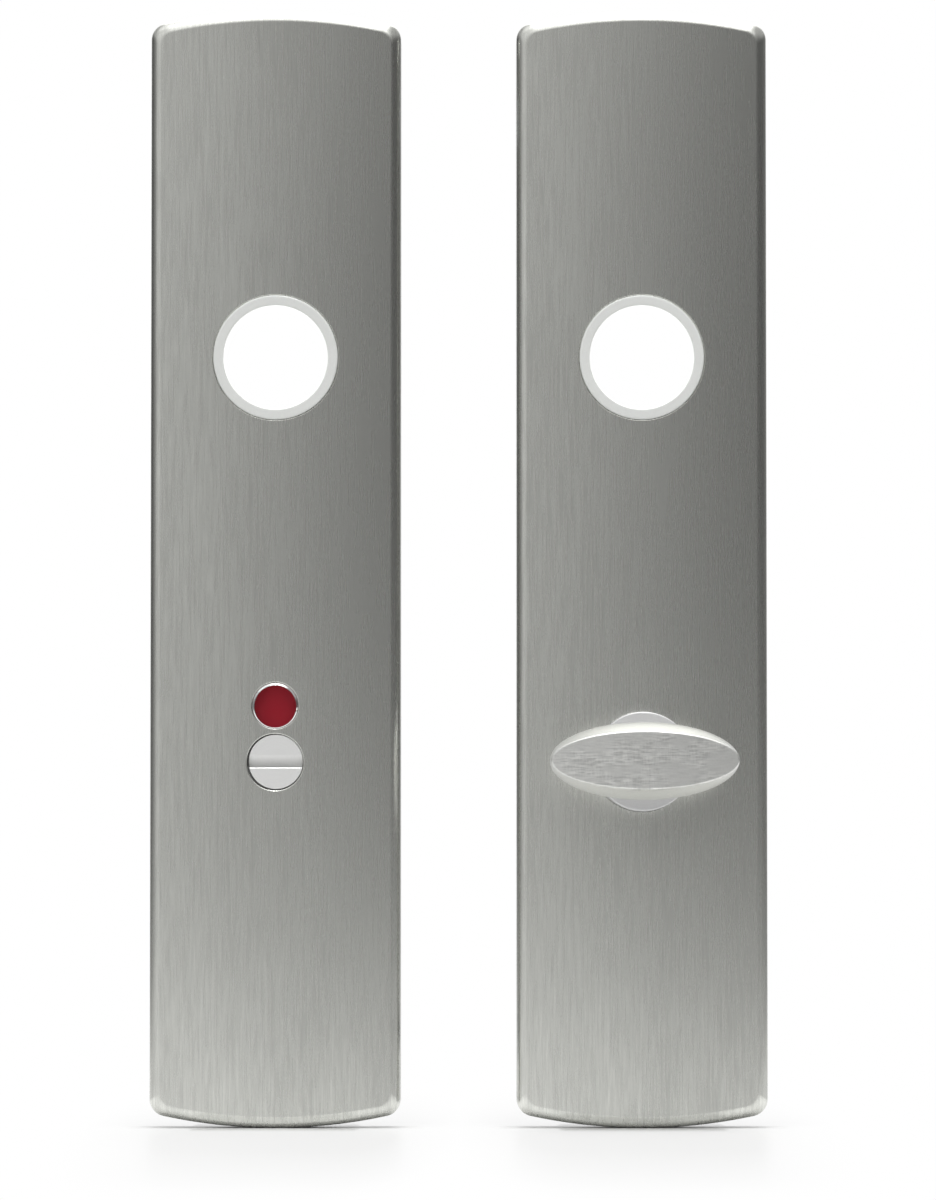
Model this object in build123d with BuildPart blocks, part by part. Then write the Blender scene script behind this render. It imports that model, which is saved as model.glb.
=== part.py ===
from build123d import *
import os
from math import sqrt

# Toilet door handle set: two short cover plates, the outside half with a red indicator and a coin
# release, the inside half with a thumbturn. The halves stand side by side on z = 0, fronts to -Y.
# Heights named ..._H are measured from the door face towards the viewer, and depths behind it are
# negative.

# The plates, as they stand
PLATE_WIDTH = 39.0
PLATE_LENGTH = 174.0
PLATE_DEPTH = 8.0
PLATE_SPACING = 57.0
END_ARC_RADIUS = 84.0
CORNER_RADIUS = 1.9
SIDE_ROUNDING = 1.6
END_ROUNDING = 2.6
COVER_WALL = 1.5

# The two working axes of a plate
LEVER_AXIS_Z = 119.7
LOCK_CENTRES = 63.0

# What the lock axis carries in front of and behind the door face
TURN_FACE_H = 28.0
SPINDLE_END_H = -46.0
JOURNAL_END_H = -5.0
SQUARE = 8.0

# Fits
ASSEMBLY_GAP = 0.15
RUNNING_GAP = 0.05
RECESS_GAP = 0.05
EDGE_BREAK = 0.3
BOOLEAN_ALLOWANCE = 2.0

# Derived places
OUTER_X = -PLATE_SPACING / 2
INNER_X = PLATE_SPACING / 2
MIDDLE_Z = PLATE_LENGTH / 2
LOCK_AXIS_Z = LEVER_AXIS_Z - LOCK_CENTRES
DOOR_FACE_Y = (TURN_FACE_H + SPINDLE_END_H) / 2
CAVITY_H = PLATE_DEPTH - COVER_WALL

# Lever bush
BUSH_BORE_RADIUS = 8.0
BUSH_RIM_RADIUS = 9.7
BUSH_BODY_RADIUS = 10.2
BUSH_FLANGE_RADIUS = 11.5
BUSH_FLANGE_H = 5.0
BUSH_RIM_H = 8.3
COVER_LEVER_HOLE_RADIUS = 9.75

# Moulded carrier behind each cover
CARRIER_INSET = COVER_WALL + ASSEMBLY_GAP
CARRIER_RIM_WALL = 2.4
CARRIER_SKIN = 1.8
CARRIER_RIB = 1.4
CROSS_RIB_PITCH = 15.6
CROSS_RIB_COUNT = 11
CARRIER_CORNER_RADIUS = 1.0
LEVER_BOSS_RADIUS = 13.6
LOCK_BOSS_RADIUS = 15.6
FIXING_BOSS_RADIUS = 6.2
FIXING_CENTRES = 150.0

# Lock bearing, shared by both halves
JOURNAL_RADIUS = 7.0
BEARING_WEB_H = 1.9
REAR_COUNTERBORE_RADIUS = 10.75
GROOVE_RADIUS = 6.7
CIRCLIP_H = 0.3
CIRCLIP_THICKNESS = 1.0
GROOVE_SIDE_GAP = 0.05
CIRCLIP_OUTER_RADIUS = 8.5
CIRCLIP_EAR_PLACE = 9.0
CIRCLIP_EAR_RADIUS = 1.3
CIRCLIP_EAR_HOLE_RADIUS = 0.6
CIRCLIP_GAP_ANGLE = 36.0
CIRCLIP_EAR_ANGLE = 25.0
SPRING_WASHER_INNER = 7.3
SPRING_WASHER_OUTER = 9.75
SPRING_WASHER_GAUGE = 0.3
SPRING_WASHER_BOW = 0.2

# Quarter-turn stops
STOP_TRAVEL = 90.0
STOP_TAB_WIDTH = 3.0
STOP_SIDE_ANGLE = 12.0
STOP_SWEEP = STOP_TRAVEL + 2 * STOP_SIDE_ANGLE

# Outside half: release, disc, window
RELEASE_SHOULDER_RADIUS = 8.0
RELEASE_SHOULDER_H = 4.1
RELEASE_TAB_REACH = 9.6
RELEASE_HUB_RADIUS = 4.9
RELEASE_HUB_FLATS = 8.7
RELEASE_HEAD_RADIUS = 4.25
RELEASE_HEAD_H = 7.9
COIN_SLOT_WIDTH = 1.66
COIN_SLOT_DEPTH = 1.3
RELEASE_SOCKET = SQUARE + 0.1
RELEASE_SOCKET_DEPTH = 9.6
COVER_RELEASE_HOLE_RADIUS = 4.4
DISC_RADIUS = 13.0
DISC_H = 4.9
DISC_THICKNESS = 1.0
DISC_POCKET_RADIUS = 13.6
DISC_POCKET_H = 4.8
FIELD_INNER_RADIUS = 5.2
FIELD_OUTER_RADIUS = 12.7
FIELD_SWEEP = 88.0
FIELD_THICKNESS = 0.25
RED_FIELD_ANGLE = 90.0
WHITE_FIELD_ANGLE = 180.0
WINDOW_OFFSET = 8.8
WINDOW_RADIUS = 3.6
LENS_RADIUS = WINDOW_RADIUS - RECESS_GAP
LENS_FLANGE_RADIUS = 4.25
LENS_FLANGE_THICKNESS = 0.5
LENS_FRONT_H = 7.85
LENS_ROUNDING = 0.55

# Inside half: thumbturn, spindle, pin
TURN_BOSS_RADIUS = 7.6
TURN_LEDGE_H = 15.0
COVER_TURN_HOLE_RADIUS = 7.75
TURN_FLANGE_RADIUS = 9.5
TURN_FLANGE_H = 5.0
TURN_FLANGE_THICKNESS = 1.3
TURN_TAB_REACH = 11.4
TURN_POCKET_H = 4.9
TURN_SOCKET = SQUARE + 0.04
TURN_SOCKET_TOP_H = 11.1
TURN_FACE_ROUNDING = 0.4
TURN_LEDGE_ROUNDING = 0.35
SPINDLE_TOP_H = 11.0
SPINDLE_CHAMFER = 0.5
PIN_RADIUS = 1.0
PIN_LENGTH = 13.6
PIN_H = -2.6

# Oval sections of the thumbturn's grip: height off the door, half width, half height
GRIP_ROOT = (14.0, 7.0, 5.4)
GRIP_SHOULDER = (18.6, 14.45, 5.95)
GRIP_WAIST = (23.0, 14.3, 4.75)
GRIP_FACE = (TURN_FACE_H, 14.15, 4.1)
GRIP_SHOULDER_ROUNDING = 1.5

# Fixings
BOLT_RADIUS = 2.0
BOLT_NECK_RADIUS = 1.75
BOLT_NECK_END_H = -1.0
BOLT_SEAT_H = 3.6
BOLT_HEAD_RADIUS = 3.8
BOLT_HEAD_HEIGHT = 2.3
BOLT_HEAD_CHAMFER = 0.7
BOLT_END_H = -32.0
BOLT_RECESS_LENGTH = 4.4
BOLT_RECESS_WIDTH = 0.9
BOLT_RECESS_DEPTH = 1.3
BOLT_HOLE_RADIUS = 2.25
BOLT_COUNTERBORE_RADIUS = 4.2
SLEEVE_RADIUS = 3.5
SLEEVE_BORE_RADIUS = 2.05
SLEEVE_SEAT_H = 3.0
SLEEVE_HEAD_HEIGHT = 1.4
SLEEVE_HEAD_FLATS = 8.6
SLEEVE_END_H = -26.0
SLEEVE_FIT = 0.1

# Bow springs that grip the cover from inside
CLIP_WIDTH = 6.0
CLIP_GAUGE = 0.4
CLIP_RECESS_DEPTH = 1.2
CLIP_RECESS_WIDTH = 6.6
CLIP_RECESS_H = 0.6
CLIP_RECESS_HEIGHT = 5.2
CLIP_HALF_SPAN = 2.4
CLIP_CENTRES = 78.0


def door_plane(centre_x, height_z):
    """Plane on the door face, x to the right, y up and the normal towards the viewer."""
    return Plane(origin=(centre_x, DOOR_FACE_Y, height_z), x_dir=(1, 0, 0), z_dir=(0, -1, 0))


def turning_plane(centre_x, height_z):
    """Half-section plane of a turned piece, x as its radius and y as its height off the door."""
    return Plane(origin=(centre_x, DOOR_FACE_Y, height_z), x_dir=(1, 0, 0), z_dir=(0, 0, -1))


def turning_axis(centre_x, height_z):
    """Axis of a turned piece, pointing at the viewer."""
    return Axis((centre_x, DOOR_FACE_Y, height_z), (0, -1, 0))


def turned_profile(*corners):
    """Closed half section through (radius, height) corners."""
    with BuildSketch() as profile:
        with BuildLine():
            Polyline(*corners, close=True)
        make_face()
    return profile.sketch


def plate_outline(inset, corner_radius):
    """Plan of a plate with arched ends, drawn in from the cover's outline by the inset."""
    half_width = PLATE_WIDTH / 2 - inset
    half_length = PLATE_LENGTH / 2 - inset
    arc_radius = END_ARC_RADIUS - inset
    shoulder = half_length - arc_radius + sqrt(arc_radius**2 - half_width**2)
    with BuildSketch() as outline:
        with BuildLine():
            Line((half_width, -shoulder), (half_width, shoulder))
            ThreePointArc((half_width, shoulder), (0, half_length), (-half_width, shoulder))
            Line((-half_width, shoulder), (-half_width, -shoulder))
            ThreePointArc((-half_width, -shoulder), (0, -half_length), (half_width, -shoulder))
        make_face()
        fillet(outline.vertices(), corner_radius)
    return outline.sketch


def pie_sector(radius, middle_angle, sweep):
    """Sector of a circle about the sketch's origin."""
    start = middle_angle - sweep / 2
    with BuildSketch() as sector:
        with BuildLine():
            rim = CenterArc((0, 0), radius, start, sweep)
            Line((0, 0), rim @ 0)
            Line(rim @ 1, (0, 0))
        make_face()
    return sector.sketch


def arched_end(centre_x):
    """Round slab whose softened front edge gives a cover its arched end."""
    end = door_plane(centre_x, PLATE_LENGTH - END_ARC_RADIUS)
    with BuildPart() as slab:
        with BuildSketch(end):
            Circle(END_ARC_RADIUS)
        extrude(amount=PLATE_DEPTH)
        fillet(slab.edges().sort_by(Axis.Y)[0], END_ROUNDING)
    return slab.part


def cover_plate(centre_x, lock_holes):
    """Pressed cover: half of the shell, mirrored, hollowed and pierced for the lever bush."""
    slab = arched_end(centre_x)
    with BuildPart() as cover:
        with BuildSketch(Plane.XY.offset(MIDDLE_Z)):
            with Locations((centre_x, DOOR_FACE_Y - PLATE_DEPTH / 2)):
                band = Rectangle(PLATE_WIDTH, PLATE_DEPTH)
            fillet(band.vertices().group_by(Axis.Y)[0], SIDE_ROUNDING)
        extrude(amount=PLATE_LENGTH / 2 + BOOLEAN_ALLOWANCE)
        add(slab, mode=Mode.INTERSECT)
        corner_edges = cover.edges().filter_by(Axis.Y).group_by(Axis.Z)[-1]
        fillet(corner_edges, CORNER_RADIUS)
        mirror(about=Plane.XY.offset(MIDDLE_Z))
        with BuildSketch(door_plane(centre_x, MIDDLE_Z)):
            add(plate_outline(COVER_WALL, CARRIER_CORNER_RADIUS))
        extrude(amount=CAVITY_H, mode=Mode.SUBTRACT)
        with BuildSketch(door_plane(centre_x, LEVER_AXIS_Z)):
            Circle(COVER_LEVER_HOLE_RADIUS)
        extrude(amount=PLATE_DEPTH, mode=Mode.SUBTRACT)
        with BuildSketch(door_plane(centre_x, LOCK_AXIS_Z)):
            for radius, offset in lock_holes:
                with Locations((0, offset)):
                    Circle(radius)
        extrude(amount=PLATE_DEPTH, mode=Mode.SUBTRACT)
    return cover.part


def carrier_blank(centre_x):
    """Moulded carrier: skin, rim, ribs open to the door, bosses and the seats of four springs."""
    middle = door_plane(centre_x, MIDDLE_Z)
    lever = door_plane(centre_x, LEVER_AXIS_Z)
    rib_depth = CAVITY_H - CARRIER_SKIN
    inner_width = PLATE_WIDTH - 2 * CARRIER_INSET - CARRIER_RIM_WALL
    inner_length = PLATE_LENGTH - 2 * CARRIER_INSET - CARRIER_RIM_WALL
    recess_x = PLATE_WIDTH / 2 - CARRIER_INSET - CLIP_RECESS_DEPTH / 2
    with BuildPart() as carrier:
        with BuildSketch(middle):
            add(plate_outline(CARRIER_INSET, CARRIER_CORNER_RADIUS))
        extrude(amount=CAVITY_H)
        with BuildSketch(middle):
            add(plate_outline(CARRIER_INSET + CARRIER_RIM_WALL, CARRIER_CORNER_RADIUS))
        extrude(amount=rib_depth, mode=Mode.SUBTRACT)
        with BuildSketch(middle):
            Rectangle(CARRIER_RIB, inner_length)
            with GridLocations(0, CROSS_RIB_PITCH, 1, CROSS_RIB_COUNT):
                Rectangle(inner_width, CARRIER_RIB)
        extrude(amount=rib_depth)
        with BuildSketch(lever):
            Circle(LEVER_BOSS_RADIUS)
        extrude(amount=CAVITY_H)
        with BuildSketch(door_plane(centre_x, LOCK_AXIS_Z)):
            Circle(LOCK_BOSS_RADIUS)
        extrude(amount=CAVITY_H)
        with BuildSketch(middle):
            with GridLocations(0, FIXING_CENTRES, 1, 2):
                Circle(FIXING_BOSS_RADIUS)
        extrude(amount=CAVITY_H)
        with BuildSketch(lever):
            Circle(BUSH_BODY_RADIUS + RUNNING_GAP)
        extrude(amount=CAVITY_H, mode=Mode.SUBTRACT)
        with BuildSketch(lever.offset(BUSH_FLANGE_H)):
            Circle(BUSH_FLANGE_RADIUS + ASSEMBLY_GAP)
        extrude(amount=CAVITY_H - BUSH_FLANGE_H, mode=Mode.SUBTRACT)
        with BuildSketch(middle.offset(CLIP_RECESS_H)):
            with GridLocations(2 * recess_x, CLIP_CENTRES, 2, 2):
                Rectangle(CLIP_RECESS_DEPTH, CLIP_RECESS_WIDTH)
        extrude(amount=CLIP_RECESS_HEIGHT, mode=Mode.SUBTRACT)
    return carrier.part


def colour_field(middle_angle, gap):
    """Plan of a coloured field of the disc, grown by the gap for the recess that holds it."""
    with BuildSketch() as field:
        add(pie_sector(FIELD_OUTER_RADIUS + gap, middle_angle, FIELD_SWEEP + 4 * gap))
        Circle(FIELD_INNER_RADIUS - gap, mode=Mode.SUBTRACT)
    return field.sketch


def bowed_strip(start, crown, end, gauge):
    """Edge view of a shallow bowed strip: an arc and its copy moved by the gauge."""
    with BuildSketch() as strip:
        with BuildLine():
            near = ThreePointArc(start, crown, end)
            far = ThreePointArc(*(point + gauge for point in (start, crown, end)))
            Line(near @ 0, far @ 0)
            Line(near @ 1, far @ 1)
        make_face()
    return strip.sketch


def save(part, name):
    """Label a finished piece and write it under its own name."""
    part.label = name
    export_step(part, f"parts/{name}.step")


os.makedirs("parts", exist_ok=True)

outer_lock = door_plane(OUTER_X, LOCK_AXIS_Z)
inner_lock = door_plane(INNER_X, LOCK_AXIS_Z)
outer_lock_axis = turning_axis(OUTER_X, LOCK_AXIS_Z)
inner_lock_axis = turning_axis(INNER_X, LOCK_AXIS_Z)
slot_end = Plane(origin=(OUTER_X, DOOR_FACE_Y, LOCK_AXIS_Z), x_dir=(0, 0, 1), z_dir=(1, 0, 0))

# Covers
outer_holes = ((COVER_RELEASE_HOLE_RADIUS, 0), (WINDOW_RADIUS, WINDOW_OFFSET))
save(cover_plate(OUTER_X, outer_holes), "outer_cover")
inner_holes = ((COVER_TURN_HOLE_RADIUS, 0),)
save(cover_plate(INNER_X, inner_holes), "inner_cover")

# Outside carrier: pocket of the disc, seat of the shoulder, stop, bearing and rear counterbore
with BuildPart() as outer_backplate:
    add(carrier_blank(OUTER_X))
    with BuildSketch(outer_lock.offset(DISC_POCKET_H)):
        Circle(DISC_POCKET_RADIUS)
    extrude(amount=CAVITY_H - DISC_POCKET_H, mode=Mode.SUBTRACT)
    with BuildSketch(outer_lock.offset(RELEASE_SHOULDER_H - 2 * RUNNING_GAP)):
        Circle(RELEASE_SHOULDER_RADIUS + ASSEMBLY_GAP)
        add(pie_sector(RELEASE_TAB_REACH + ASSEMBLY_GAP, WHITE_FIELD_ANGLE, STOP_SWEEP))
    extrude(amount=CAVITY_H - RELEASE_SHOULDER_H, mode=Mode.SUBTRACT)
    with BuildSketch(outer_lock):
        Circle(JOURNAL_RADIUS + RUNNING_GAP)
    extrude(amount=CAVITY_H, mode=Mode.SUBTRACT)
    with BuildSketch(outer_lock):
        Circle(REAR_COUNTERBORE_RADIUS)
    extrude(amount=BEARING_WEB_H, mode=Mode.SUBTRACT)
    with BuildSketch(door_plane(OUTER_X, MIDDLE_Z)):
        with GridLocations(0, FIXING_CENTRES, 1, 2):
            Circle(SLEEVE_RADIUS + SLEEVE_FIT)
    extrude(amount=CAVITY_H, mode=Mode.SUBTRACT)
    with BuildSketch(door_plane(OUTER_X, MIDDLE_Z).offset(SLEEVE_SEAT_H)):
        with GridLocations(0, FIXING_CENTRES, 1, 2):
            RegularPolygon(SLEEVE_HEAD_FLATS / 2 + SLEEVE_FIT, 6, major_radius=False)
    extrude(amount=CAVITY_H - SLEEVE_SEAT_H, mode=Mode.SUBTRACT)
save(outer_backplate.part, "outer_backplate")

# Inside carrier: pocket of the flange and its stop, bearing, rear counterbore and bolt seats
with BuildPart() as inner_backplate:
    add(carrier_blank(INNER_X))
    with BuildSketch(inner_lock.offset(TURN_POCKET_H)):
        Circle(TURN_FLANGE_RADIUS + ASSEMBLY_GAP)
        add(pie_sector(TURN_TAB_REACH + ASSEMBLY_GAP, 0, STOP_SWEEP))
    extrude(amount=CAVITY_H - TURN_POCKET_H, mode=Mode.SUBTRACT)
    with BuildSketch(inner_lock):
        Circle(JOURNAL_RADIUS + RUNNING_GAP)
    extrude(amount=CAVITY_H, mode=Mode.SUBTRACT)
    with BuildSketch(inner_lock):
        Circle(REAR_COUNTERBORE_RADIUS)
    extrude(amount=BEARING_WEB_H, mode=Mode.SUBTRACT)
    with BuildSketch(door_plane(INNER_X, MIDDLE_Z)):
        with GridLocations(0, FIXING_CENTRES, 1, 2):
            Circle(BOLT_HOLE_RADIUS)
    extrude(amount=CAVITY_H, mode=Mode.SUBTRACT)
    with BuildSketch(door_plane(INNER_X, MIDDLE_Z).offset(BOLT_SEAT_H)):
        with GridLocations(0, FIXING_CENTRES, 1, 2):
            Circle(BOLT_COUNTERBORE_RADIUS)
    extrude(amount=CAVITY_H - BOLT_SEAT_H, mode=Mode.SUBTRACT)
save(inner_backplate.part, "inner_backplate")

# Lever bushes, one turned collar in each plate
for half_name, half_x in (("outer", OUTER_X), ("inner", INNER_X)):
    with BuildPart() as lever_bush:
        with BuildSketch(turning_plane(half_x, LEVER_AXIS_Z)):
            add(turned_profile(
                (BUSH_BORE_RADIUS, 0),
                (BUSH_BODY_RADIUS, 0),
                (BUSH_BODY_RADIUS, BUSH_FLANGE_H),
                (BUSH_FLANGE_RADIUS, BUSH_FLANGE_H),
                (BUSH_FLANGE_RADIUS, CAVITY_H),
                (BUSH_RIM_RADIUS, CAVITY_H),
                (BUSH_RIM_RADIUS, BUSH_RIM_H),
                (BUSH_BORE_RADIUS, BUSH_RIM_H),
            ))
        revolve(axis=turning_axis(half_x, LEVER_AXIS_Z))
        rim_edges = lever_bush.edges().filter_by(GeomType.CIRCLE).group_by(Axis.Y)[0]
        chamfer(rim_edges, EDGE_BREAK)
    save(lever_bush.part, f"{half_name}_lever_bush")

# Coin release: journal with the square socket, stop shoulder, keyed hub and slotted head
with BuildPart() as emergency_release:
    with BuildSketch(turning_plane(OUTER_X, LOCK_AXIS_Z)):
        add(turned_profile(
            (0, JOURNAL_END_H),
            (JOURNAL_RADIUS, JOURNAL_END_H),
            (JOURNAL_RADIUS, CIRCLIP_H - GROOVE_SIDE_GAP),
            (GROOVE_RADIUS, CIRCLIP_H - GROOVE_SIDE_GAP),
            (GROOVE_RADIUS, CIRCLIP_H + CIRCLIP_THICKNESS + GROOVE_SIDE_GAP),
            (JOURNAL_RADIUS, CIRCLIP_H + CIRCLIP_THICKNESS + GROOVE_SIDE_GAP),
            (JOURNAL_RADIUS, RELEASE_SHOULDER_H),
            (RELEASE_SHOULDER_RADIUS, RELEASE_SHOULDER_H),
            (RELEASE_SHOULDER_RADIUS, DISC_H),
            (RELEASE_HUB_RADIUS, DISC_H),
            (RELEASE_HUB_RADIUS, DISC_H + DISC_THICKNESS),
            (RELEASE_HEAD_RADIUS, DISC_H + DISC_THICKNESS),
            (RELEASE_HEAD_RADIUS, RELEASE_HEAD_H),
            (0, RELEASE_HEAD_H),
        ))
    revolve(axis=outer_lock_axis)
    chamfer(emergency_release.edges().group_by(Axis.Y)[0], EDGE_BREAK)
    chamfer(emergency_release.edges().group_by(Axis.Y)[-1], EDGE_BREAK)
    with BuildSketch(outer_lock.offset(DISC_H)):
        with GridLocations(RELEASE_HUB_FLATS + RELEASE_HUB_RADIUS, 0, 2, 1):
            Rectangle(RELEASE_HUB_RADIUS, 2 * RELEASE_HUB_RADIUS)
    extrude(amount=DISC_THICKNESS, mode=Mode.SUBTRACT)
    with BuildSketch(outer_lock.offset(RELEASE_SHOULDER_H)):
        with PolarLocations(RELEASE_TAB_REACH / 2, 1, start_angle=WHITE_FIELD_ANGLE + STOP_TRAVEL / 2):
            Rectangle(RELEASE_TAB_REACH, STOP_TAB_WIDTH)
    extrude(amount=DISC_H - RELEASE_SHOULDER_H)
    slot_floor_h = RELEASE_HEAD_H - COIN_SLOT_DEPTH + COIN_SLOT_WIDTH / 2
    with BuildSketch(slot_end):
        with Locations((0, slot_floor_h)):
            Circle(COIN_SLOT_WIDTH / 2)
            Rectangle(COIN_SLOT_WIDTH, COIN_SLOT_DEPTH, align=(Align.CENTER, Align.MIN))
    extrude(amount=RELEASE_HUB_RADIUS, both=True, mode=Mode.SUBTRACT)
    with BuildSketch(outer_lock.offset(JOURNAL_END_H)):
        Rectangle(RELEASE_SOCKET, RELEASE_SOCKET)
    extrude(amount=RELEASE_SOCKET_DEPTH, mode=Mode.SUBTRACT)
save(emergency_release.part, "emergency_release")

# Indicator disc, keyed on the hub, with a recess for each coloured field
field_h = DISC_H + DISC_THICKNESS - FIELD_THICKNESS
with BuildPart() as indicator_disc:
    with BuildSketch(outer_lock.offset(DISC_H)):
        Circle(DISC_RADIUS)
        with BuildSketch(mode=Mode.SUBTRACT):
            Circle(RELEASE_HUB_RADIUS + RECESS_GAP)
            Rectangle(
                RELEASE_HUB_FLATS + 2 * RECESS_GAP, 3 * RELEASE_HUB_RADIUS, mode=Mode.INTERSECT
            )
    extrude(amount=DISC_THICKNESS)
    with BuildSketch(outer_lock.offset(field_h)):
        add(colour_field(RED_FIELD_ANGLE, RECESS_GAP))
        add(colour_field(WHITE_FIELD_ANGLE, RECESS_GAP))
    extrude(amount=FIELD_THICKNESS, mode=Mode.SUBTRACT)
save(indicator_disc.part, "indicator_disc")

# The fields themselves, red for occupied and white for free
for field_name, field_angle in (("red", RED_FIELD_ANGLE), ("white", WHITE_FIELD_ANGLE)):
    with BuildPart() as indicator_field:
        with BuildSketch(outer_lock.offset(field_h)):
            add(colour_field(field_angle, 0))
        extrude(amount=FIELD_THICKNESS)
    save(indicator_field.part, f"indicator_{field_name}_field")

# Window lens, flush in the cover with a rounded rim, from a flange behind it
with BuildPart() as window_lens:
    with BuildSketch(turning_plane(OUTER_X, LOCK_AXIS_Z + WINDOW_OFFSET)):
        add(turned_profile(
            (0, CAVITY_H - LENS_FLANGE_THICKNESS),
            (LENS_FLANGE_RADIUS, CAVITY_H - LENS_FLANGE_THICKNESS),
            (LENS_FLANGE_RADIUS, CAVITY_H),
            (LENS_RADIUS, CAVITY_H),
            (LENS_RADIUS, LENS_FRONT_H),
            (0, LENS_FRONT_H),
        ))
    revolve(axis=turning_axis(OUTER_X, LOCK_AXIS_Z + WINDOW_OFFSET))
    fillet(window_lens.edges().group_by(Axis.Y)[0], LENS_ROUNDING)
save(window_lens.part, "window_lens")

# Thumbturn: turned journal, flange and boss, then the lofted grip, the stop tab and the socket
with BuildPart() as thumbturn:
    with BuildSketch(turning_plane(INNER_X, LOCK_AXIS_Z)):
        add(turned_profile(
            (0, JOURNAL_END_H),
            (JOURNAL_RADIUS, JOURNAL_END_H),
            (JOURNAL_RADIUS, CIRCLIP_H - GROOVE_SIDE_GAP),
            (GROOVE_RADIUS, CIRCLIP_H - GROOVE_SIDE_GAP),
            (GROOVE_RADIUS, CIRCLIP_H + CIRCLIP_THICKNESS + GROOVE_SIDE_GAP),
            (JOURNAL_RADIUS, CIRCLIP_H + CIRCLIP_THICKNESS + GROOVE_SIDE_GAP),
            (JOURNAL_RADIUS, TURN_FLANGE_H),
            (TURN_FLANGE_RADIUS, TURN_FLANGE_H),
            (TURN_FLANGE_RADIUS, TURN_FLANGE_H + TURN_FLANGE_THICKNESS),
            (TURN_BOSS_RADIUS, TURN_FLANGE_H + TURN_FLANGE_THICKNESS),
            (TURN_BOSS_RADIUS, TURN_LEDGE_H),
            (0, TURN_LEDGE_H),
        ))
    revolve(axis=inner_lock_axis)
    fillet(thumbturn.edges().group_by(Axis.Y)[0], TURN_LEDGE_ROUNDING)
    chamfer(thumbturn.edges().group_by(Axis.Y)[-1], EDGE_BREAK)
    for section_h, half_width, half_height in (GRIP_ROOT, GRIP_SHOULDER):
        with BuildSketch(inner_lock.offset(section_h)):
            Ellipse(half_width, half_height)
    loft(ruled=True)
    for section_h, half_width, half_height in (GRIP_SHOULDER, GRIP_WAIST, GRIP_FACE):
        with BuildSketch(inner_lock.offset(section_h)):
            Ellipse(half_width, half_height)
    loft()
    fillet(thumbturn.edges().group_by(Axis.Y)[0], TURN_FACE_ROUNDING)
    shoulder_y = DOOR_FACE_Y - GRIP_SHOULDER[0]
    fillet(thumbturn.edges().filter_by_position(Axis.Y, shoulder_y, shoulder_y), GRIP_SHOULDER_ROUNDING)
    with BuildSketch(inner_lock.offset(TURN_FLANGE_H)):
        with PolarLocations(TURN_TAB_REACH / 2, 1, start_angle=-STOP_TRAVEL / 2):
            Rectangle(TURN_TAB_REACH, STOP_TAB_WIDTH)
    extrude(amount=TURN_FLANGE_THICKNESS)
    with BuildSketch(inner_lock.offset(JOURNAL_END_H)):
        Rectangle(TURN_SOCKET, TURN_SOCKET)
    extrude(amount=TURN_SOCKET_TOP_H - JOURNAL_END_H, mode=Mode.SUBTRACT)
    with BuildSketch(Plane.XY.offset(LOCK_AXIS_Z - JOURNAL_RADIUS)):
        with Locations((INNER_X, DOOR_FACE_Y - PIN_H)):
            Circle(PIN_RADIUS)
    extrude(amount=2 * JOURNAL_RADIUS, mode=Mode.SUBTRACT)
save(thumbturn.part, "thumbturn")

# Square spindle, cross-drilled for its pin
with BuildPart() as thumbturn_spindle:
    with BuildSketch(inner_lock.offset(SPINDLE_END_H)):
        Rectangle(SQUARE, SQUARE)
    extrude(amount=SPINDLE_TOP_H - SPINDLE_END_H)
    chamfer(thumbturn_spindle.edges().group_by(Axis.Y)[-1], SPINDLE_CHAMFER)
    with BuildSketch(Plane.XY.offset(LOCK_AXIS_Z - SQUARE / 2)):
        with Locations((INNER_X, DOOR_FACE_Y - PIN_H)):
            Circle(PIN_RADIUS)
    extrude(amount=SQUARE, mode=Mode.SUBTRACT)
save(thumbturn_spindle.part, "thumbturn_spindle")

# Cross pin that keeps the spindle in the thumbturn
with BuildPart() as spindle_pin:
    with BuildSketch(Plane.XY.offset(LOCK_AXIS_Z - PIN_LENGTH / 2)):
        with Locations((INNER_X, DOOR_FACE_Y - PIN_H)):
            Circle(PIN_RADIUS)
    extrude(amount=PIN_LENGTH)
save(spindle_pin.part, "spindle_pin")

# Circlips in the journal grooves, gap and ears downwards
for clip_name, clip_plane in (("release_circlip", outer_lock), ("thumbturn_circlip", inner_lock)):
    with BuildPart() as circlip:
        with BuildSketch(clip_plane.offset(CIRCLIP_H)):
            Circle(CIRCLIP_OUTER_RADIUS)
            with PolarLocations(CIRCLIP_EAR_PLACE, 1, start_angle=-90 - CIRCLIP_EAR_ANGLE):
                Circle(CIRCLIP_EAR_RADIUS)
            with PolarLocations(CIRCLIP_EAR_PLACE, 1, start_angle=-90 + CIRCLIP_EAR_ANGLE):
                Circle(CIRCLIP_EAR_RADIUS)
            Circle(GROOVE_RADIUS, mode=Mode.SUBTRACT)
            add(pie_sector(REAR_COUNTERBORE_RADIUS, -90, CIRCLIP_GAP_ANGLE), mode=Mode.SUBTRACT)
            with PolarLocations(CIRCLIP_EAR_PLACE, 1, start_angle=-90 - CIRCLIP_EAR_ANGLE):
                Circle(CIRCLIP_EAR_HOLE_RADIUS, mode=Mode.SUBTRACT)
            with PolarLocations(CIRCLIP_EAR_PLACE, 1, start_angle=-90 + CIRCLIP_EAR_ANGLE):
                Circle(CIRCLIP_EAR_HOLE_RADIUS, mode=Mode.SUBTRACT)
        extrude(amount=CIRCLIP_THICKNESS)
    save(circlip.part, clip_name)

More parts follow.
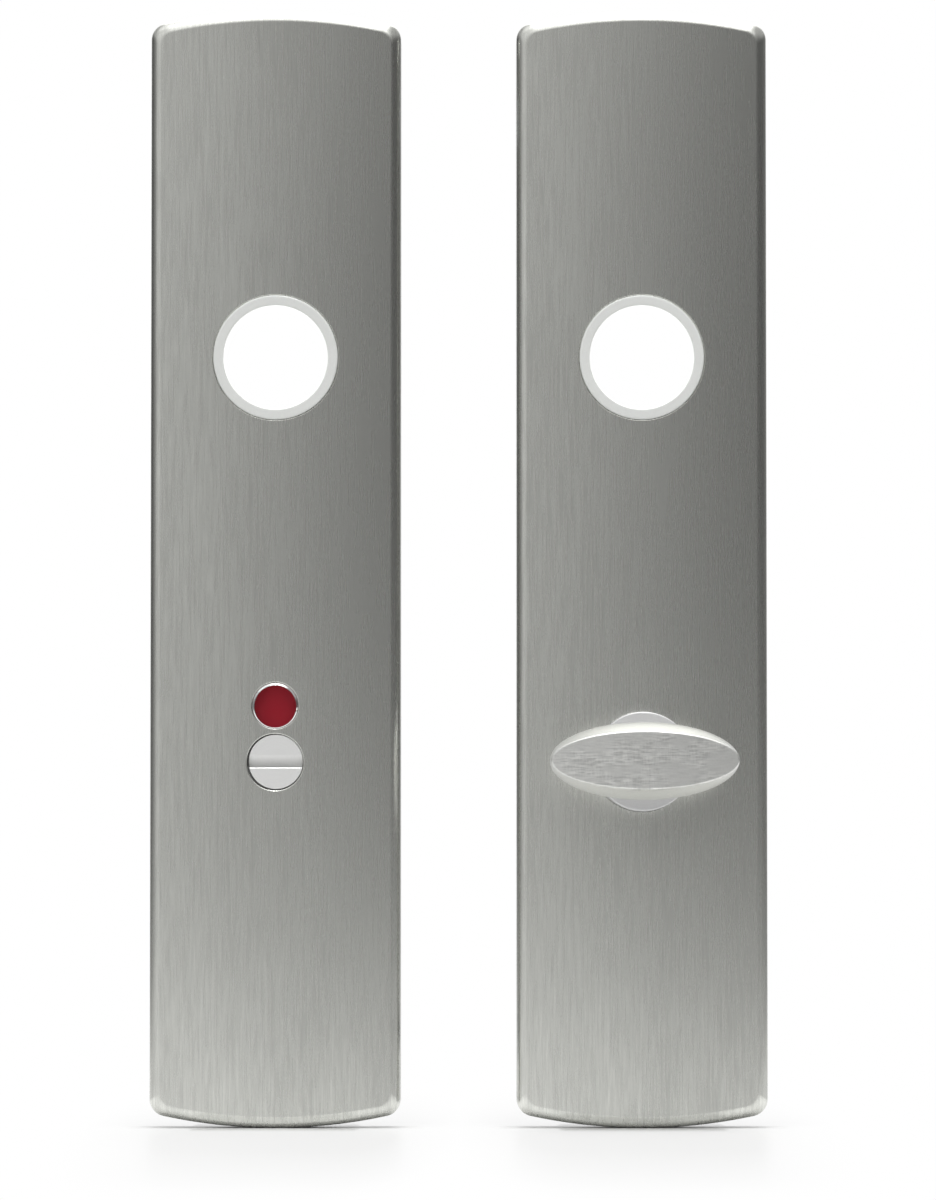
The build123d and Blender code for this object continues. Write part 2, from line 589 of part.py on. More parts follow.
# Curved spring washers under the bearing webs
for washer_name, washer_x in (("release_spring_washer", OUTER_X), ("thumbturn_spring_washer", INNER_X)):
    crown_y = DOOR_FACE_Y - BEARING_WEB_H
    with BuildPart() as spring_washer:
        with BuildSketch(Plane.XY.offset(LOCK_AXIS_Z - SPRING_WASHER_OUTER)):
            add(bowed_strip(
                Vector(washer_x - SPRING_WASHER_OUTER, crown_y + SPRING_WASHER_BOW),
                Vector(washer_x, crown_y),
                Vector(washer_x + SPRING_WASHER_OUTER, crown_y + SPRING_WASHER_BOW),
                Vector(0, SPRING_WASHER_GAUGE),
            ))
        extrude(amount=2 * SPRING_WASHER_OUTER)
        with BuildSketch(door_plane(washer_x, LOCK_AXIS_Z)):
            Circle(SPRING_WASHER_OUTER)
            Circle(SPRING_WASHER_INNER, mode=Mode.SUBTRACT)
        extrude(amount=PLATE_DEPTH, mode=Mode.INTERSECT)
    save(spring_washer.part, washer_name)

# Threaded sleeves of the outside half, hexagon heads held in the carrier
with BuildPart() as outer_threaded_sleeves:
    with BuildSketch(door_plane(OUTER_X, MIDDLE_Z).offset(SLEEVE_SEAT_H)):
        with GridLocations(0, FIXING_CENTRES, 1, 2):
            RegularPolygon(SLEEVE_HEAD_FLATS / 2, 6, major_radius=False)
    extrude(amount=SLEEVE_HEAD_HEIGHT)
    with BuildSketch(door_plane(OUTER_X, MIDDLE_Z).offset(SLEEVE_END_H)):
        with GridLocations(0, FIXING_CENTRES, 1, 2):
            Circle(SLEEVE_RADIUS)
    extrude(amount=SLEEVE_SEAT_H - SLEEVE_END_H)
    with BuildSketch(door_plane(OUTER_X, MIDDLE_Z).offset(SLEEVE_END_H)):
        with GridLocations(0, FIXING_CENTRES, 1, 2):
            Circle(SLEEVE_BORE_RADIUS)
    extrude(amount=SLEEVE_SEAT_H + SLEEVE_HEAD_HEIGHT - SLEEVE_END_H, mode=Mode.SUBTRACT)
    chamfer(outer_threaded_sleeves.edges().group_by(Axis.Y)[-1], EDGE_BREAK)
save(outer_threaded_sleeves.part, "outer_threaded_sleeves")

# Bolts of the inside half: cross-recessed heads hidden by the cover, a thinner neck, then the thread
with BuildPart() as inner_fixing_bolts:
    with BuildSketch(door_plane(INNER_X, MIDDLE_Z).offset(BOLT_SEAT_H)):
        with GridLocations(0, FIXING_CENTRES, 1, 2):
            Circle(BOLT_HEAD_RADIUS)
    extrude(amount=BOLT_HEAD_HEIGHT)
    chamfer(inner_fixing_bolts.edges().group_by(Axis.Y)[0], BOLT_HEAD_CHAMFER)
    with BuildSketch(door_plane(INNER_X, MIDDLE_Z).offset(BOLT_NECK_END_H)):
        with GridLocations(0, FIXING_CENTRES, 1, 2):
            Circle(BOLT_NECK_RADIUS)
    extrude(amount=BOLT_SEAT_H - BOLT_NECK_END_H)
    with BuildSketch(door_plane(INNER_X, MIDDLE_Z).offset(BOLT_END_H)):
        with GridLocations(0, FIXING_CENTRES, 1, 2):
            Circle(BOLT_RADIUS)
    extrude(amount=BOLT_NECK_END_H - BOLT_END_H)
    chamfer(inner_fixing_bolts.edges().group_by(Axis.Y)[-1], EDGE_BREAK)
    with BuildSketch(door_plane(INNER_X, MIDDLE_Z).offset(BOLT_SEAT_H + BOLT_HEAD_HEIGHT)):
        with GridLocations(0, FIXING_CENTRES, 1, 2):
            Rectangle(BOLT_RECESS_LENGTH, BOLT_RECESS_WIDTH)
            Rectangle(BOLT_RECESS_WIDTH, BOLT_RECESS_LENGTH)
    extrude(amount=-BOLT_RECESS_DEPTH, mode=Mode.SUBTRACT)
save(inner_fixing_bolts.part, "inner_fixing_bolts")

# Bow springs, four to a plate, between the carrier's recesses and the cover's side walls
recess_floor = PLATE_WIDTH / 2 - CARRIER_INSET - CLIP_RECESS_DEPTH
cover_wall_face = PLATE_WIDTH / 2 - COVER_WALL
recess_middle_h = CLIP_RECESS_H + CLIP_RECESS_HEIGHT / 2
for half_name, half_x in (("outer", OUTER_X), ("inner", INNER_X)):
    with BuildPart() as cover_clips:
        for height_z in (MIDDLE_Z - CLIP_CENTRES / 2, MIDDLE_Z + CLIP_CENTRES / 2):
            for side in (-1, 1):
                foot_x = half_x + side * (recess_floor + CLIP_GAUGE)
                crown_x = half_x + side * cover_wall_face
                with BuildSketch(Plane.XY.offset(height_z - CLIP_WIDTH / 2)):
                    add(bowed_strip(
                        Vector(foot_x, DOOR_FACE_Y - recess_middle_h + CLIP_HALF_SPAN),
                        Vector(crown_x, DOOR_FACE_Y - recess_middle_h),
                        Vector(foot_x, DOOR_FACE_Y - recess_middle_h - CLIP_HALF_SPAN),
                        Vector(-side * CLIP_GAUGE, 0),
                    ))
                extrude(amount=CLIP_WIDTH)
    save(cover_clips.part, f"{half_name}_cover_clips")
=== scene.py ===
import logging
import math
from dataclasses import dataclass
from enum import Enum
from functools import partial
from typing import Any, Callable, Sequence

import bmesh
import bpy
import numpy as np
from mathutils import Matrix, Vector
from mathutils.geometry import delaunay_2d_cdt


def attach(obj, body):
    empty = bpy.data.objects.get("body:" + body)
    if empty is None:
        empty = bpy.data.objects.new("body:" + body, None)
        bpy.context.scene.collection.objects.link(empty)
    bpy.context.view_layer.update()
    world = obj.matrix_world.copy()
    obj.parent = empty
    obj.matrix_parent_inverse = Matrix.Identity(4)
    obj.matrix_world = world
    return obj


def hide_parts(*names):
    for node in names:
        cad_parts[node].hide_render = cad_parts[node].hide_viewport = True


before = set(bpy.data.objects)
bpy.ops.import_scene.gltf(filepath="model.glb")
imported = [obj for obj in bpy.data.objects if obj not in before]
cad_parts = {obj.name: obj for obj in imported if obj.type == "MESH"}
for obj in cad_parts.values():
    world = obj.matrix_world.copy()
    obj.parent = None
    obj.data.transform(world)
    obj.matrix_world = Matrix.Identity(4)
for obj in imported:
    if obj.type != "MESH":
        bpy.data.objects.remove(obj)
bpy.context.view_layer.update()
LOG = logging.getLogger("toilet_door_handle_set")

# Shared places, in millimetres as in the frame; meshes are scaled to metres when they are finished
DOOR_FACE_Y = -9.0
PLATE_MIDDLE_Z = 87.0
LEVER_Z = 119.7
LOCK_Z = 56.7
WINDOW_Z = LOCK_Z + 8.8
MILLIMETRE = 0.001

# Points nearer to one another than a step of this grid, in millimetres, are welded. The grid
# is shifted by part of a step, so that round measures don't fall between two steps.
WELD_STEP = 0.0001
WELD_SHIFT = 0.37

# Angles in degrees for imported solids: facets that are joined, edges that are shaded sharp and
# edges that are broken
FLAT_ANGLE = 0.6
SHARP_ANGLE = 32.0
BROKEN_ANGLE = 35.0

Colour = tuple[float, float, float]
Triple = tuple[float, float, float]
Profile = tuple[np.ndarray, np.ndarray]


class Half(Enum):
    """The two plates of the set, by the side of the door that they belong to."""

    OUTSIDE = "outer"
    INSIDE = "inner"

    @property
    def centre_x(self) -> float:
        """Upright centre line of the plate, in millimetres."""
        return -28.5 if self is Half.OUTSIDE else 28.5


# ---- Shader expressions ----


class Value:
    """A node's output on which sums can be written, such as 1 - mask * 0.5."""

    def __init__(self, sheet: "NodeSheet", socket: bpy.types.NodeSocket) -> None:
        """Wrap an output socket.

        Args:
            sheet: The tree that the socket belongs to.
            socket: The output.
        """
        self.sheet = sheet
        self.socket = socket

    def __add__(self, other: "Value | float") -> "Value":
        """Sum."""
        return self.sheet.maths("ADD", self, other)

    def __radd__(self, other: float) -> "Value":
        """Sum with a number on the left."""
        return self.sheet.maths("ADD", other, self)

    def __sub__(self, other: "Value | float") -> "Value":
        """Difference."""
        return self.sheet.maths("SUBTRACT", self, other)

    def __rsub__(self, other: float) -> "Value":
        """Difference from a number."""
        return self.sheet.maths("SUBTRACT", other, self)

    def __mul__(self, other: "Value | float") -> "Value":
        """Product."""
        return self.sheet.maths("MULTIPLY", self, other)

    def __rmul__(self, other: float) -> "Value":
        """Product with a number on the left."""
        return self.sheet.maths("MULTIPLY", other, self)

    def __truediv__(self, other: "Value | float") -> "Value":
        """Quotient."""
        return self.sheet.maths("DIVIDE", self, other)

    def __rtruediv__(self, other: float) -> "Value":
        """A number's quotient by the Value."""
        return self.sheet.maths("DIVIDE", other, self)


class NodeSheet:
    """The tree of a material, the world or a modifier, with one way to add a node."""

    def __init__(self, tree: bpy.types.NodeTree) -> None:
        """Start with an empty tree.

        Args:
            tree: The tree.
        """
        self.tree = tree
        tree.nodes.clear()

    def node(
        self,
        kind: str,
        settings: dict[str, Any] | None = None,
        inputs: dict[str | int, Any] | None = None,
    ) -> bpy.types.Node:
        """Add a node.

        Args:
            kind: The node's Blender type.
            settings: What is set on the node first; "stops" gives a ramp's places and levels.
            inputs: Numbers, colours or Values by the input's name or number.

        Returns:
            The node.
        """
        made = self.tree.nodes.new(kind)
        for name, setting in (settings or {}).items():
            if name == "stops":
                self._set_stops(made, setting)
            else:
                setattr(made, name, setting)
        for key, given in (inputs or {}).items():
            if isinstance(given, Value):
                self.tree.links.new(given.socket, made.inputs[key])
            else:
                made.inputs[key].default_value = given
        return made

    @staticmethod
    def _set_stops(ramp: bpy.types.Node, stops: Sequence[tuple[float, float]]) -> None:
        """Give a colour ramp its grey stops.

        Args:
            ramp: The ramp node.
            stops: Pairs of place and level.
        """
        elements = ramp.color_ramp.elements
        while len(elements) < len(stops):
            elements.new(1.0)
        for element, (place, level) in zip(elements, stops):
            element.position = place
            element.color = (level, level, level, 1.0)

    def feed(self, target: bpy.types.Node, links: dict[str, Value]) -> None:
        """Link Values to a node's inputs, by the inputs' names."""
        for name, value in links.items():
            self.tree.links.new(value.socket, target.inputs[name])

    def out(self, made: bpy.types.Node, which: str | int = 0) -> Value:
        """An output of a node as a Value."""
        return Value(self, made.outputs[which])

    def value(
        self,
        kind: str,
        settings: dict[str, Any] | None = None,
        inputs: dict[str | int, Any] | None = None,
        which: str | int = 0,
    ) -> Value:
        """An output of a new node as a Value."""
        return self.out(self.node(kind, settings, inputs), which)

    def maths(self, operation: str, *terms: Value | float) -> Value:
        """One Math node on numbers or Values."""
        return self.value("ShaderNodeMath", {"operation": operation}, dict(enumerate(terms)))

    def vectors(self, operation: str, *terms: Value | Triple, which: int = 0) -> Value:
        """One Vector Math node on vectors."""
        settings = {"operation": operation}
        return self.value("ShaderNodeVectorMath", settings, dict(enumerate(terms)), which)

    def limited(self, value: Value) -> Value:
        """A value held between 0 and 1."""
        return self.value("ShaderNodeClamp", {}, {0: value})

    def step(self, value: Value, low: float, high: float) -> Value:
        """A soft step from 0 at the low value to 1 at the high one."""
        settings = {"interpolation_type": "SMOOTHSTEP"}
        return self.value("ShaderNodeMapRange", settings, {0: value, 1: low, 2: high})

    def ramp(self, value: Value, stops: Sequence[tuple[float, float]]) -> Value:
        """A grey level by a value, through the stops of a colour ramp."""
        return self.value("ShaderNodeValToRGB", {"stops": stops}, {0: value})

    def position(self) -> Value:
        """Where a point lies on the piece, in the row frame, in metres."""
        return self.value("ShaderNodeTexCoord", which="Object")

    def axes(self, place: Value) -> tuple[Value, Value, Value]:
        """The x, y and z of a vector."""
        parts = self.node("ShaderNodeSeparateXYZ", {}, {0: place})
        return self.out(parts, 0), self.out(parts, 1), self.out(parts, 2)

    def distance(self, place: Value) -> Value:
        """Length of a vector."""
        return self.vectors("LENGTH", place, which=1)

    def off_axis(self, centre: tuple[float, float]) -> Value:
        """Distance of a point from an axis that runs across the door face, by its x and z."""
        flat = self.vectors("MULTIPLY", self.position(), (1.0, 0.0, 1.0))
        return self.distance(self.vectors("SUBTRACT", flat, (centre[0], 0.0, centre[1])))

    def noise(self, place: Value, scale: Triple, detail: float = 2.0) -> Value:
        """Soft noise about 0, within about half a unit, stretched along each axis.

        Args:
            place: The coordinates.
            scale: Features to the metre along x, y and z.
            detail: How many finer layers it has.

        Returns:
            The noise.
        """
        stretched = self.vectors("MULTIPLY", place, scale)
        inputs = {"Vector": stretched, "Scale": 1.0, "Detail": detail}
        return self.value("ShaderNodeTexNoise", {}, inputs) - 0.5

    def blend(self, factor: Value, low: Value | Colour, high: Value | Colour) -> Value:
        """A colour between two.

        Args:
            factor: 0 gives the first one and 1 the second.
            low: The first one.
            high: The second one.

        Returns:
            The mixed colour.
        """
        ends = [end if isinstance(end, Value) else (*end, 1.0) for end in (low, high)]
        inputs = {0: factor, 6: ends[0], 7: ends[1]}
        return self.value("ShaderNodeMix", {"data_type": "RGBA"}, inputs, 2)

    def bump(self, height: Value, strength: float, reach: float) -> Value:
        """Normals that a height field gives.

        Args:
            height: The field.
            strength: How strongly it shows.
            reach: Height in metres that one unit of the field stands for.

        Returns:
            The bumped normal.
        """
        inputs = {"Strength": strength, "Distance": reach, "Height": height}
        return self.value("ShaderNodeBump", {}, inputs)


# ---- Finishes ----


def scaled(colour: Colour, factor: float) -> Colour:
    """A colour made lighter or darker."""
    return (colour[0] * factor, colour[1] * factor, colour[2] * factor)


@dataclass(frozen=True)
class Finish:
    """A surface finish, turned into a material when a piece first needs it.

    The plain finish is a moulded plastic with a fine erosion grain.
    """

    name: str
    colour: Colour
    roughness: float
    metallic: float = 0.0
    contrast: float = 0.12
    grain: float = 1800.0
    grain_depth: float = 0.00001
    specular: float = 0.5

    def material(self) -> bpy.types.Material:
        """The finish as a material, made only once.

        Returns:
            The material.
        """
        name = f"{self.name}_finish"
        made = bpy.data.materials.get(name)
        if made is None:
            made = bpy.data.materials.new(name)
            made.use_nodes = True
            sheet = NodeSheet(made.node_tree)
            shader = sheet.node("ShaderNodeBsdfPrincipled", {}, self.constants())
            self.dress(sheet, shader)
            sheet.node("ShaderNodeOutputMaterial", {}, {"Surface": sheet.out(shader)})
        return made

    def constants(self) -> dict[str, Any]:
        """What is the same all over the surface."""
        return {"Metallic": self.metallic, "Specular IOR Level": self.specular}

    def dress(self, sheet: NodeSheet, shader: bpy.types.Node) -> None:
        """Link what varies over the surface.

        Args:
            sheet: The material's tree.
            shader: Its surface shader.
        """
        place = sheet.position()
        grain = sheet.noise(place, (self.grain,) * 3, 3.0)
        cloud = sheet.noise(place, (self.grain / 30,) * 3)
        self.link(sheet, shader, grain * 0.6 + cloud * 0.8, grain)

    def link(self, sheet: NodeSheet, shader: bpy.types.Node, tone: Value, height: Value) -> None:
        """Colour and roughness by a tone about 0, and bump by a height.

        Args:
            sheet: The material's tree.
            shader: Its surface shader.
            tone: Darker below 0 and lighter above it.
            height: Field that is embossed.
        """
        dark = scaled(self.colour, 1 - self.contrast)
        light = scaled(self.colour, 1 + self.contrast)
        # A finish may paint shade over its colour here
        colour = self.painted_shade_over(sheet, sheet.blend(sheet.limited(tone + 0.5), dark, light))
        roughness = sheet.limited(tone * -0.25 * self.roughness + self.roughness)
        normal = sheet.bump(height, 0.6, self.grain_depth)
        sheet.feed(shader, {"Base Color": colour, "Roughness": roughness, "Normal": normal})

    def painted_shade_over(self, sheet: NodeSheet, colour: Value) -> Value:
        """The colour with shade painted over it, which is none here."""
        return colour


@dataclass(frozen=True)
class BrushedFinish(Finish):
    """Metal brushed upright, in fine and in longer strokes."""

    stroke_across: float = 4200.0
    stroke_along: float = 210.0
    cloud_scale: Triple = (120.0, 40.0, 30.0)

    def dress(self, sheet: NodeSheet, shader: bpy.types.Node) -> None:
        """Link strokes of two lengths and a faint unevenness.

        Args:
            sheet: The material's tree.
            shader: Its surface shader.
        """
        place = sheet.position()
        fine = sheet.noise(place, self.strokes(1.0, 1.0))
        coarse = sheet.noise(place, self.strokes(2.6, 2.4))
        cloud = sheet.noise(place, self.cloud_scale, 1.0)
        strokes = fine + coarse * 0.75
        self.link(sheet, shader, strokes + cloud * 0.45, strokes)

    def strokes(self, wider: float, longer: float) -> Triple:
        """Scale of upright strokes that are wider and longer than the finest ones."""
        across = self.stroke_across / wider
        return across, across / 3, self.stroke_along / longer


@dataclass(frozen=True)
class TurnedFinish(Finish):
    """A face turned on a lathe, with fine rings about an axis across the plate."""

    centre: tuple[float, float] = (0.0, 0.0)
    ring_pitch: float = 0.00012

    def dress(self, sheet: NodeSheet, shader: bpy.types.Node) -> None:
        """Link rings by the distance from the axis, and a fine grain.

        Args:
            sheet: The material's tree.
            shader: Its surface shader.
        """
        turns = sheet.off_axis(self.centre) / self.ring_pitch
        inputs = {"W": turns, "Scale": 1.0, "Detail": 2.0}
        rings = sheet.value("ShaderNodeTexNoise", {"noise_dimensions": "1D"}, inputs) - 0.5
        grain = sheet.noise(sheet.position(), (self.grain,) * 3)
        self.link(sheet, shader, rings * 0.8 + grain * 0.4, rings + grain * 0.3)


@dataclass(frozen=True)
class SlottedFinish(TurnedFinish):
    """A turned face with shade painted into its slot, darker the deeper it goes."""

    # Depth range of the shade painted into the slot, and how dark it gets
    slot_range: tuple[float, float] = (0.0, 0.001)
    slot_shade: float = 0.25

    def painted_shade_over(self, sheet: NodeSheet, colour: Value) -> Value:
        """The colour, with shade painted inside the slot.

        Args:
            sheet: The material's tree.
            colour: The metal's colour.

        Returns:
            The colour with painted shade.
        """
        _, back, _ = sheet.axes(sheet.position())
        painted_shade = sheet.step(back, *self.slot_range) * self.slot_shade
        return sheet.blend(painted_shade, colour, scaled(self.colour, 0.1))


@dataclass(frozen=True)
class HatchedFinish(Finish):
    """Satin metal with short crossed finishing marks on its face, most of them along it."""

    mark_scale: Triple = (700.0, 500.0, 4600.0)
    cross_scale: Triple = (4600.0, 500.0, 900.0)
    patch_scale: Triple = (200.0, 100.0, 330.0)
    patch_range: tuple[float, float] = (-0.08, 0.10)
    dash_range: tuple[float, float] = (0.07, 0.16)
    face_range: tuple[float, float] = (0.0362, 0.0368)

    def dress(self, sheet: NodeSheet, shader: bpy.types.Node) -> None:
        """Link the marks, which fade out past the face's edge, and a fine satin grain.

        Args:
            sheet: The material's tree.
            shader: Its surface shader.
        """
        place = sheet.position()
        level = sheet.noise(place, self.mark_scale, 0.0)
        upright = sheet.noise(place, self.cross_scale, 0.0)
        patch = sheet.step(sheet.noise(place, self.patch_scale, 1.0), *self.patch_range)
        _, back, _ = sheet.axes(place)
        face = sheet.step(back * -1.0, *self.face_range)
        light = sheet.step(level, *self.dash_range)
        dark = sheet.step(level * -1.0, *self.dash_range)
        satin = sheet.noise(place, (self.grain,) * 3)
        marks = (level * 0.35 + ((light - dark) * 0.26 + upright * 0.4) * patch) * face
        self.link(sheet, shader, marks * 0.9 + satin * 0.25, marks + satin * 0.3)


@dataclass(frozen=True)
class ClearFinish(Finish):
    """Clear moulded plastic with faint wiping marks, cloudier in its rounded rim."""

    centre: tuple[float, float] = (0.0, 0.0)
    rim: tuple[float, float] = (0.00327, 0.00333)
    haze: float = 0.008
    rim_haze: float = 0.85
    wiping_scale: Triple = (1400.0, 900.0, 500.0)

    def dress(self, sheet: NodeSheet, shader: bpy.types.Node) -> None:
        """Link the wiping marks and how much the plastic hides.

        Args:
            sheet: The material's tree.
            shader: Its surface shader.
        """
        super().dress(sheet, shader)
        marks = sheet.noise(sheet.position(), self.wiping_scale, 3.0)
        cloudy = sheet.step(sheet.off_axis(self.centre), *self.rim)
        hiding = cloudy * (self.rim_haze - self.haze) + marks * 0.012 + self.haze
        sheet.feed(shader, {"Alpha": sheet.limited(hiding)})


@dataclass(frozen=True)
class PaintedGlowBoreFinish(Finish):
    """Plastic of the bushes, with a glow painted into the bore by emission, in place of light
    through the thin wall.
    """

    # Where the glow painted in the bore ends, and its strength
    bore_edge: tuple[float, float] = (0.00805, 0.00818)
    glow: float = 0.42

    def constants(self) -> dict[str, Any]:
        """What is the same all over, with the strength of the glow painted in the bore."""
        return {**super().constants(), "Emission Strength": self.glow}

    def dress(self, sheet: NodeSheet, shader: bpy.types.Node) -> None:
        """Link the moulded grain and the glow painted in the bore.

        Args:
            sheet: The material's tree.
            shader: Its surface shader.
        """
        super().dress(sheet, shader)
        x, _, z = sheet.axes(sheet.position())
        beside = sheet.maths("ABSOLUTE", x) - Half.INSIDE.centre_x * MILLIMETRE
        flat = sheet.value("ShaderNodeCombineXYZ", {}, {0: beside, 2: z - LEVER_Z * MILLIMETRE})
        painted_glow_in_bore = 1 - sheet.step(sheet.distance(flat), *self.bore_edge)
        sheet.feed(shader, {"Emission Color": painted_glow_in_bore})


BRUSHED_COVER = BrushedFinish(
    "brushed_cover", (0.710, 0.716, 0.676), 0.27, 1.0, contrast=0.19, grain_depth=0.000006
)
# Bush plastic, with a painted glow in its bore
BUSH_NYLON = PaintedGlowBoreFinish("bush_nylon", (0.86, 0.873, 0.85), 0.42, contrast=0.05, grain=2600.0)
CARRIER_NYLON = Finish("carrier_nylon", (0.030, 0.031, 0.033), 0.52, contrast=0.25, grain=2400.0)
DISC_PLASTIC = Finish("disc_plastic", (0.045, 0.046, 0.05), 0.5, contrast=0.2, grain=2600.0)
FIELD_RED = Finish(
    "field_red", (0.37, 0.009, 0.023), 0.45, contrast=0.10, grain=3200.0, specular=0.15
)
FIELD_WHITE = Finish("field_white", (0.80, 0.80, 0.78), 0.30, contrast=0.05, grain=3200.0)
WINDOW_CLEAR = ClearFinish(
    "window_clear", (0.95, 0.95, 0.95), 0.06, 1.0, contrast=0.02, grain=900.0,
    grain_depth=0.000002, centre=(-0.0285, 0.06537)
)
# The release's turned metal, with shade painted into its slot
RELEASE_METAL = SlottedFinish(
    "release_metal", (0.84, 0.84, 0.83), 0.40, 0.3, contrast=0.06, grain=3000.0,
    grain_depth=0.000004, centre=(-0.0285, 0.0567), slot_range=(-0.0168, -0.0158)
)
GRIP_METAL = HatchedFinish(
    "grip_metal", (0.745, 0.747, 0.724), 0.35, 0.8, contrast=0.32, grain=3400.0,
    grain_depth=0.00002
)
BOSS_METAL = TurnedFinish(
    "boss_metal", (0.72, 0.72, 0.725), 0.50, 0.5, contrast=0.06, grain=3000.0,
    grain_depth=0.000004, centre=(0.0285, 0.0567)
)
ZINC_STEEL = Finish("zinc_steel", (0.50, 0.51, 0.53), 0.36, 1.0, contrast=0.22, grain=700.0)
SPRING_STEEL = Finish("spring_steel", (0.16, 0.155, 0.15), 0.38, 1.0, contrast=0.3, grain=900.0)


# ---- Mesh making ----


def unit(vectors: np.ndarray) -> np.ndarray:
    """Vectors brought to length 1, with zero ones left as they are."""
    lengths = np.linalg.norm(vectors, axis=-1, keepdims=True)
    return vectors / np.where(lengths > 1e-12, lengths, 1.0)


def softened(
    corners: Sequence[tuple[float, float, float]], closed: bool, steps: int = 5
) -> Profile:
    """A half section with rounded corners, drawn anticlockwise about the material.

    Args:
        corners: Radius, height and rounding of each corner.
        closed: Whether the last corner joins the first.
        steps: How many facets a rounding has.

    Returns:
        Its points and their outward normals.
    """
    spots = np.array([corner[:2] for corner in corners], float)
    count = len(spots)
    points: list[np.ndarray] = []
    normals: list[np.ndarray] = []
    for i, (_, _, rounding) in enumerate(corners):
        before = unit(spots[i] - spots[i - 1])
        after = unit(spots[(i + 1) % count] - spots[i])
        if not closed and i == 0:
            before = after
        if not closed and i == count - 1:
            after = before
        first = np.array((before[1], -before[0]))
        turn = before[0] * after[1] - before[1] * after[0]
        angle = math.atan2(turn, float(before @ after))
        start = spots[i] - before * rounding * math.tan(abs(angle) / 2)
        bend = math.copysign(rounding, angle)
        for k in range(steps + 1) if rounding else (0, steps):
            part = angle * k / steps
            cos, sin = math.cos(part), math.sin(part)
            normal = np.array((first[0] * cos - first[1] * sin, first[0] * sin + first[1] * cos))
            points.append(start + bend * (normal - first))
            normals.append(normal)
    if closed:
        points.append(points[0])
        normals.append(normals[0])
    return np.array(points), np.array(normals)


def again(points: np.ndarray) -> np.ndarray:
    """Columns of a ring with the first one repeated at the end."""
    return np.concatenate((points, points[:, :1]), axis=1)


def grid_normals(points: np.ndarray) -> np.ndarray:
    """Normals of a grid of points, from its neighbours.

    Args:
        points: Rows of points, each with its first one again at the end.

    Returns:
        One normal for each point, to either side.
    """
    closed = points[:, :-1]
    along = np.roll(closed, -1, axis=1) - np.roll(closed, 1, axis=1)
    return unit(np.cross(np.gradient(points, axis=0), again(along)))


def eased(share: np.ndarray) -> np.ndarray:
    """A share from 0 to 1 that starts and ends gently."""
    return share * share * (3 - 2 * share)


def loop_edges(outlines: Sequence[np.ndarray]) -> list[tuple[int, int]]:
    """Edges that close each outline, with the outlines' points one after another.

    Args:
        outlines: Outlines without their first points again.

    Returns:
        Pairs of point numbers.
    """
    edges: list[tuple[int, int]] = []
    start = 0
    for outline in outlines:
        size = len(outline)
        edges.extend((start + k, start + (k + 1) % size) for k in range(size))
        start += size
    return edges


def inside(points: np.ndarray, outlines: Sequence[np.ndarray]) -> np.ndarray:
    """Which points lie inside the first outline and outside the others, by crossings.

    Args:
        points: Plan points.
        outlines: Closed plan outlines.

    Returns:
        True or False for each point.
    """
    crossings = np.zeros(len(points), int)
    for outline in outlines:
        start, end = outline, np.roll(outline, -1, axis=0)
        above = (start[None, :, 1] > points[:, None, 1]) != (end[None, :, 1] > points[:, None, 1])
        rise = np.where(end[:, 1] == start[:, 1], 1.0, end[:, 1] - start[:, 1])
        cut = start[:, 0] + (points[:, None, 1] - start[:, 1]) * (end[:, 0] - start[:, 0]) / rise
        crossings += (above & (points[:, None, 0] < cut)).sum(axis=1)
    return crossings % 2 == 1


